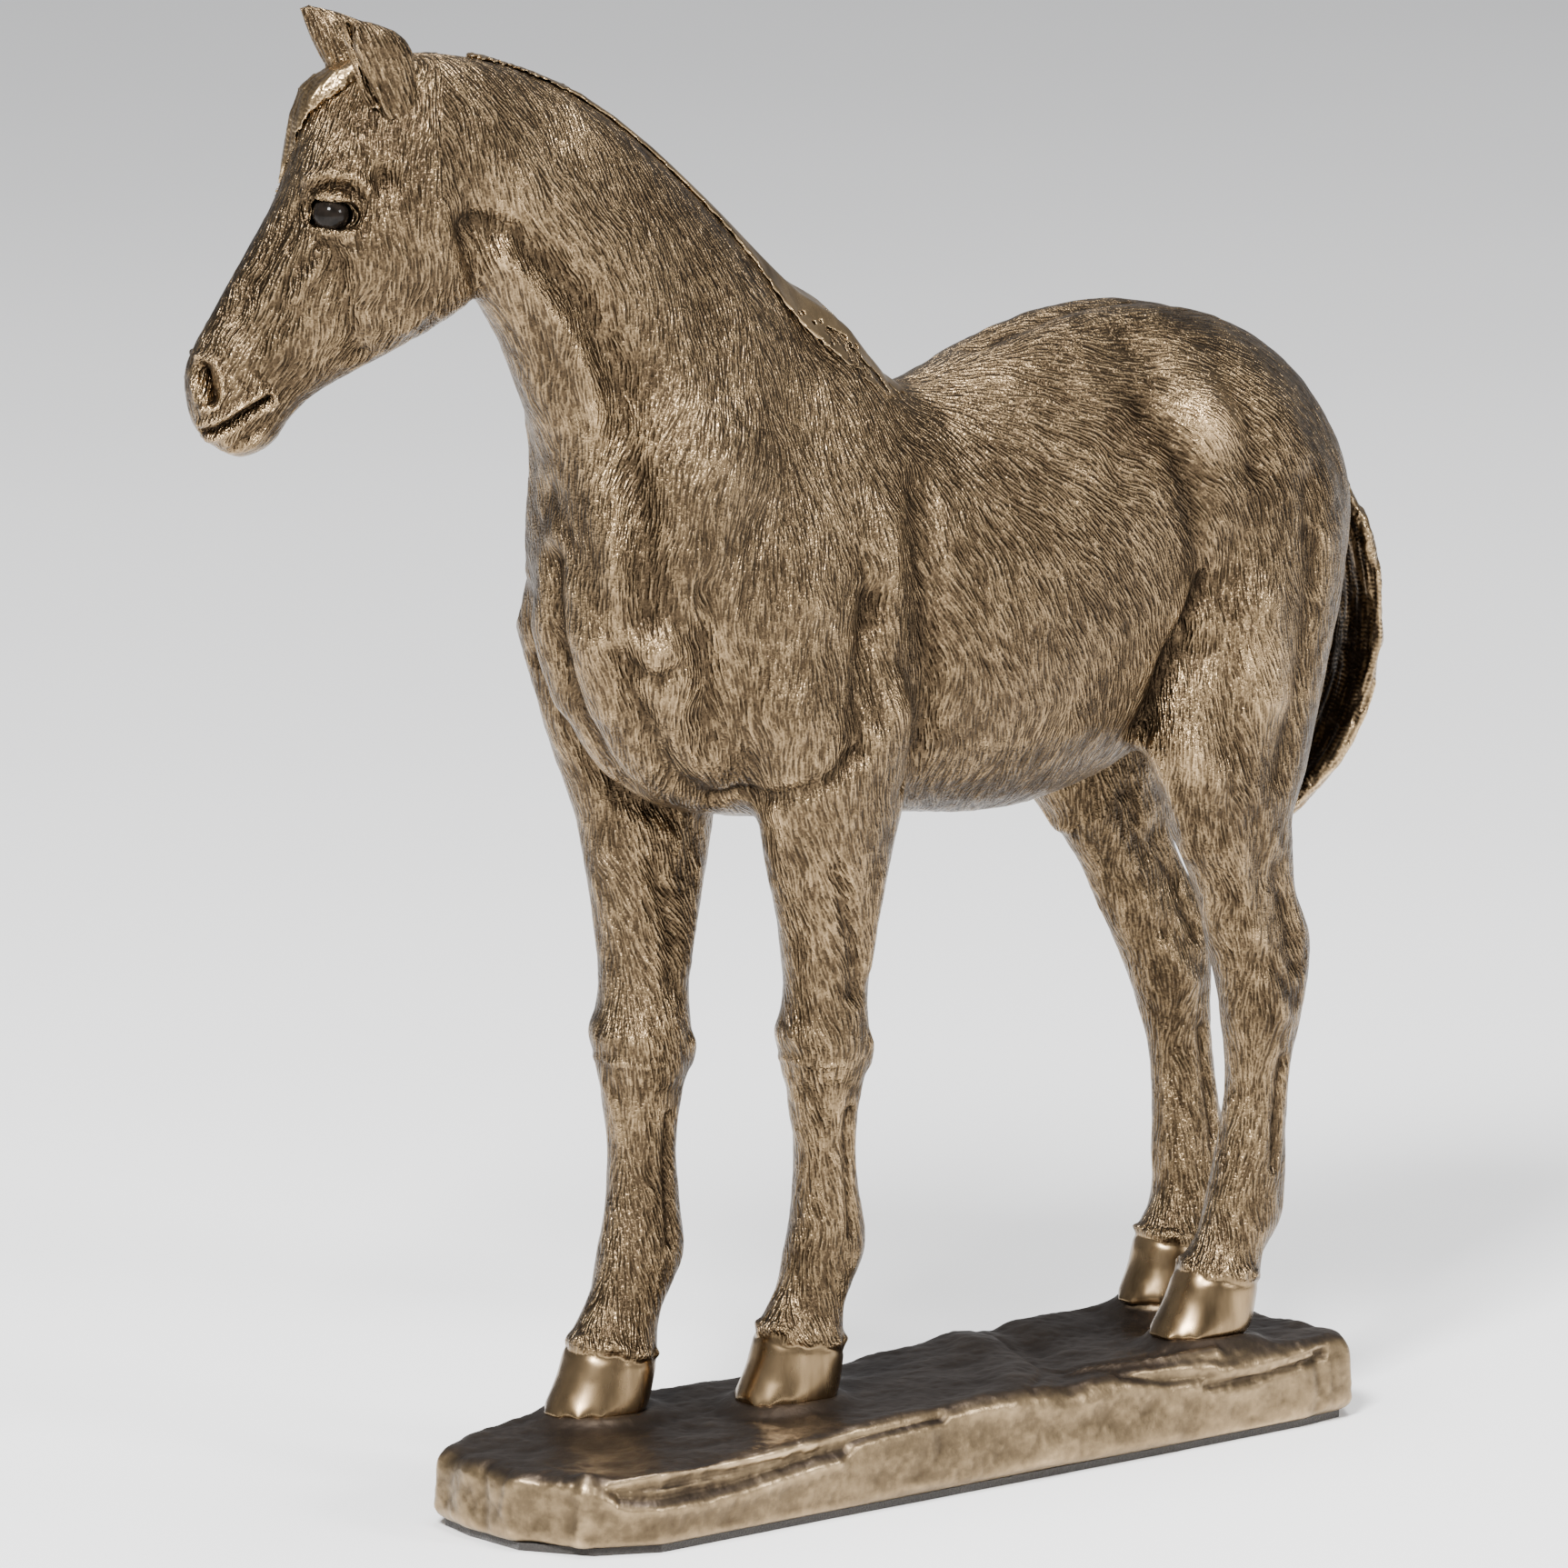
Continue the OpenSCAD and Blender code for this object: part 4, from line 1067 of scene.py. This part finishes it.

# %% [markdown]
# ## Finishes
# Cast bronze is browned with heat and acid until it is nearly black in the strokes, and rubbing
# then shows the metal on every height. The attribute stored on the skin drives both: colour and
# roughness go from dark and dull to golden and bright. It also carries painted highlights on the
# body's high points and painted shade on the tail's forward side.

# %% Building a material
class Nodes:
    """A material's nodes, placed and linked by short calls"""

    def __init__(self, name):
        self.material = bpy.data.materials.new(name)
        self.material.use_nodes = True
        self.tree = self.material.node_tree
        self.shader = self.tree.nodes["Principled BSDF"]
        self.where = self.new("ShaderNodeTexCoord").outputs["Object"]

    def new(self, kind, **settings):
        node = self.tree.nodes.new(kind)
        for name, value in settings.items():
            setattr(node, name, value)
        return node

    def link(self, source, target):
        self.tree.links.new(source, target)

    def noise(self, scale, detail=3.0, roughness=0.55, stretch=(1, 1, 1)):
        """Noise whose features are 1/scale metres across"""
        mapping = self.new("ShaderNodeMapping")
        mapping.inputs["Scale"].default_value = stretch
        self.link(self.where, mapping.inputs["Vector"])
        node = self.new("ShaderNodeTexNoise")
        node.inputs["Scale"].default_value = scale
        node.inputs["Detail"].default_value = detail
        node.inputs["Roughness"].default_value = roughness
        self.link(mapping.outputs["Vector"], node.inputs["Vector"])
        return node.outputs["Fac"]

    def attribute(self, name):
        return self.new("ShaderNodeAttribute", attribute_name=name).outputs["Fac"]

    def strokes(self, width, length, samples=6):
        """The comb of the clay again, finer: noise averaged along the stored lie of the hair"""
        lie = self.new("ShaderNodeAttribute", attribute_name="lie").outputs["Vector"]
        total = 0
        for k in range(samples):
            reach = (k / (samples - 1) - 0.5) * length
            moved = self.new("ShaderNodeVectorMath", operation="MULTIPLY_ADD")
            self.link(lie, moved.inputs[0])
            moved.inputs[1].default_value = (reach, reach, reach)
            self.link(self.where, moved.inputs[2])
            grain = self.new("ShaderNodeTexNoise")
            grain.inputs["Scale"].default_value = 1 / width
            grain.inputs["Detail"].default_value = 0
            self.link(moved.outputs["Vector"], grain.inputs["Vector"])
            total = self.maths("ADD", grain.outputs["Fac"], total)
        return self.maths("MULTIPLY_ADD", total, 5 / samples, -2.0)

    def maths(self, operation, a, b, c=None):
        node = self.new("ShaderNodeMath", operation=operation)
        for socket, value in zip(node.inputs, (a, b, c)):
            if isinstance(value, (int, float)):
                socket.default_value = value
            elif value is not None:
                self.link(value, socket)
        return node.outputs["Value"]

    def ramp(self, fac, stops):
        """A colour for each place on a scale from 0 to 1"""
        node = self.new("ShaderNodeValToRGB")
        self.link(fac, node.inputs["Fac"])
        elements = node.color_ramp.elements
        while len(elements) < len(stops):
            elements.new(0.5)
        for element, (at, colour) in zip(elements, stops):
            element.position = at
            element.color = (*colour, 1)
        return node.outputs["Color"]

    def mixed(self, fac, a, b):
        """From one colour to another"""
        node = self.new("ShaderNodeMix", data_type="RGBA")
        for socket, value in zip((node.inputs[0], node.inputs[6], node.inputs[7]), (fac, a, b)):
            self.link(value, socket)
        return node.outputs[2]

    def between(self, fac, a, b):
        """From one number to another"""
        node = self.new("ShaderNodeMix", data_type="FLOAT")
        for socket, value in zip((node.inputs[0], node.inputs[2], node.inputs[3]), (fac, a, b)):
            self.link(value, socket)
        return node.outputs[0]

    def scaled(self, fac, low, high):
        """The value from 0 to 1 carried to the range from low to high"""
        node = self.new("ShaderNodeMapRange")
        node.inputs["To Min"].default_value = low
        node.inputs["To Max"].default_value = high
        self.link(fac, node.inputs["Value"])
        return node.outputs["Result"]

    def bump(self, height, distance, strength=1.0):
        node = self.new("ShaderNodeBump")
        node.inputs["Distance"].default_value = distance
        node.inputs["Strength"].default_value = strength
        self.link(height, node.inputs["Height"])
        self.link(node.outputs["Normal"], self.shader.inputs["Normal"])

    def set(self, **values):
        for name, value in values.items():
            socket = self.shader.inputs[name.replace("_", " ")]
            if isinstance(value, (int, float)):
                socket.default_value = value
            else:
                self.link(value, socket)
        return self.material


print("material helpers ready")

# %% The bronzes
# Width and length of a stroke, in metres
HAIR = (0.00036, 0.0014)
LONG_HAIR = (0.0006, 0.0036)


def bronze(name, dark, mid, bright, rough=(0.43, 0.22), lift=0.0, hair=HAIR, deep=0.00026):
    """Bronze browned in its hollows and bright from rubbing on its heights, with the painted
    highlights and painted shade that the stored level carries, and smooth where it is polished
    """
    n = Nodes(name)
    strokes, polished = n.strokes(*hair), n.attribute("polished")
    level = n.maths("ADD", n.attribute("wear_and_painted_light"),
                    n.scaled(n.noise(62, 4), -0.30 + lift, 0.30 + lift))
    level = n.maths("ADD", level, n.scaled(n.noise(230, 3), -0.14, 0.14))
    level = n.maths("ADD", level, n.scaled(strokes, -0.21, 0.21))
    tip = tuple(min(1, 1.6 * c) for c in bright)
    coat = n.ramp(level, [(0.08, dark), (0.46, mid), (0.8, bright), (1.0, tip)])
    buffed = n.noise(260, 3, stretch=(1, 1, 0.25))
    metal = n.ramp(buffed, [(0.3, tuple(0.4 * c for c in bright)),
                            (0.66, tuple(1.15 * c for c in bright))])
    n.bump(n.maths("MULTIPLY", strokes, n.maths("SUBTRACT", 1.0, polished)), deep, 0.9)
    return n.set(Base_Color=n.mixed(polished, coat, metal), Metallic=1.0,
                 Roughness=n.between(polished, n.scaled(level, *rough),
                                     n.scaled(buffed, 0.33, 0.22)))


BROWN = (0.020, 0.013, 0.0075)
BRONZE = (0.069, 0.0465, 0.026)
GOLD = (0.27, 0.186, 0.100)
coat_bronze = bronze("coat bronze", BROWN, BRONZE, GOLD)
RUBBED_BRONZE = (0.19, 0.131, 0.072)
RUBBED_GOLD = (0.44, 0.31, 0.168)
rubbed_bronze = bronze("rubbed bronze", BROWN, RUBBED_BRONZE, RUBBED_GOLD, (0.40, 0.22), 0.08,
                       LONG_HAIR, 0.00008)
print("bronzes ready")

# %% The rock's patina
def rock_patina():
    """Satin brown on the top, mottled gold-brown on the sides"""
    n = Nodes("rock bronze")
    wear_and_painted_light, top = n.attribute("wear_and_painted_light"), n.attribute("top")
    speck = n.noise(1100, 3)
    level = n.maths("ADD", wear_and_painted_light, n.scaled(n.noise(45, 5, 0.6, (0.5, 1, 1.4)), -0.4, 0.4))
    level = n.maths("ADD", level, n.scaled(speck, -0.14, 0.14))
    side = n.ramp(level, [(0.1, (0.040, 0.028, 0.018)), (0.46, (0.135, 0.097, 0.056)),
                          (0.75, (0.29, 0.208, 0.116)), (1.0, (0.50, 0.365, 0.21))])
    upper = n.ramp(level, [(0.15, (0.03, 0.023, 0.018)), (0.55, (0.062, 0.047, 0.036)),
                           (0.9, (0.125, 0.095, 0.068))])
    n.bump(n.maths("ADD", speck, n.noise(420, 4)), 0.0001, 0.7)
    return n.set(Base_Color=n.mixed(top, side, upper), Metallic=1.0,
                 Roughness=n.scaled(n.maths("ADD", level, n.scaled(top, 0.0, -0.2)), 0.52, 0.34))


rock_bronze = rock_patina()


# %% Eyes, felt and steel
def eye_gloss():
    n = Nodes("eye gloss")
    depth = n.noise(500, 2)
    colour = n.ramp(depth, [(0.3, (0.003, 0.0025, 0.002)), (0.7, (0.012, 0.009, 0.007))])
    return n.set(Base_Color=colour, Roughness=n.scaled(depth, 0.08, 0.16), IOR=1.2)


def felt_and_painted_shadow():
    n = Nodes("felt")
    pile = n.noise(2600, 5, 0.75)
    # The felt's own dark cloth colour is pushed to near black as painted shade, so that the gap
    # under the rock's rim reads as a shadow line
    colour = n.ramp(pile, [(0.25, (0.010, 0.008, 0.007)), (0.75, (0.04, 0.034, 0.028))])
    n.bump(pile, 0.0002, 0.9)
    return n.set(Base_Color=colour, Roughness=0.95, Sheen_Weight=0.35)


def turned_steel():
    n = Nodes("turned steel")
    rings = n.noise(900, 3, stretch=(1, 1, 6))
    colour = n.ramp(rings, [(0.3, (0.42, 0.42, 0.44)), (0.7, (0.62, 0.62, 0.64))])
    n.bump(rings, 0.00003, 0.5)
    return n.set(Base_Color=colour, Metallic=1.0, Roughness=n.scaled(rings, 0.24, 0.42))


def dress(obj, material):
    obj.data.materials.clear()
    obj.data.materials.append(material)


for name, obj in pieces.items():
    dress(obj, coat_bronze)
for name in ("forelock", "mane", "tail"):
    dress(pieces[name], rubbed_bronze)
dress(pieces["base_casting"], rock_bronze)
STEEL = ("studs", "washers", "nuts", "dowels", "dowel", "pins", "pin")
steel_nodes = [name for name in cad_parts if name.split("_")[-1] in STEEL]
steel = turned_steel()
for name in steel_nodes:
    dress(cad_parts[name], steel)
gloss = eye_gloss()
for name in ("left_eye", "right_eye"):
    dress(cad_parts[name], gloss)
    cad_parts[name].data.shade_smooth()
dress(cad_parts["felt_pad"], felt_and_painted_shadow())
print("pieces dressed:", len(pieces) + len(steel_nodes) + 3)

# %% [markdown]
# ## The studio
# A pale floor, a soft light from the upper left, a weaker one from the right and a wide one above.
# Metal shows what is around it, so the room is light grey and not white: that leaves brown in the
# shade, and the lights draw the bright lines.

# %% Floor, lights and room
def floor():
    bm = bmesh.new()
    bmesh.ops.create_grid(bm, x_segments=8, y_segments=8, size=6)
    mesh = bpy.data.meshes.new("floor")
    bm.to_mesh(mesh)
    bm.free()
    obj = linked("floor", mesh)
    n = Nodes("pale floor")
    tint = n.ramp(n.noise(3, 2), [(0.3, (0.86, 0.86, 0.86)), (0.7, (0.90, 0.90, 0.90))])
    dress(obj, n.set(Base_Color=tint, Roughness=0.85))


def lamp(name, at, size, power, aim):
    light = bpy.data.lights.new(name, "AREA")
    light.size = size
    light.energy = power
    obj = linked(name, light)
    obj.location = at
    obj.rotation_euler = (aim - Vector(at)).to_track_quat("-Z", "Y").to_euler()


floor()
heart = (Vector(cad_box[0]) + Vector(cad_box[1])) / 2
lamp("key", (-0.8, -0.5, 0.95), 0.28, 44, heart)
lamp("fill", (0.45, -1.25, 0.65), 0.28, 14, heart)
lamp("top", (0.1, -0.1, 1.7), 0.7, 36, heart)
world = bpy.data.worlds.new("studio")
world.use_nodes = True
room = world.node_tree.nodes["Background"].inputs
room["Color"].default_value = (0.95, 0.96, 1.0, 1)
room["Strength"].default_value = 0.38
bpy.context.scene.world = world
print("studio ready")

# %% [markdown]
# The camera stands well back with a long lens, 40 degrees round to the front from the horse's left
# and 11 degrees above level, so that near and far hooves keep their true sizes.

# %% Camera
AZIMUTH, ELEVATION = math.radians(-40), math.radians(10.7)
DISTANCE = 2.2
FRAME_WIDTH = 0.2446
SENSOR = 36
AIM = Vector((-0.0149, 0.0101, 0.110))
back = Vector((math.sin(AZIMUTH) * math.cos(ELEVATION), -math.cos(AZIMUTH) * math.cos(ELEVATION),
               math.sin(ELEVATION)))
camera_data = bpy.data.cameras.new("camera")
camera_data.sensor_width = SENSOR
camera_data.lens = SENSOR * DISTANCE / FRAME_WIDTH
camera_data.clip_end = 30
camera = linked("camera", camera_data)
camera.location = AIM + back * DISTANCE
camera.rotation_euler = back.to_track_quat("Z", "Y").to_euler()
bpy.context.scene.camera = camera
print("camera at", [round(v, 3) for v in camera.location])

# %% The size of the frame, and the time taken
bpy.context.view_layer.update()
print("box of the frame:", [[round(c, 4) for c in v] for v in cad_box])
print("finished after", round(time.time() - started), "s")
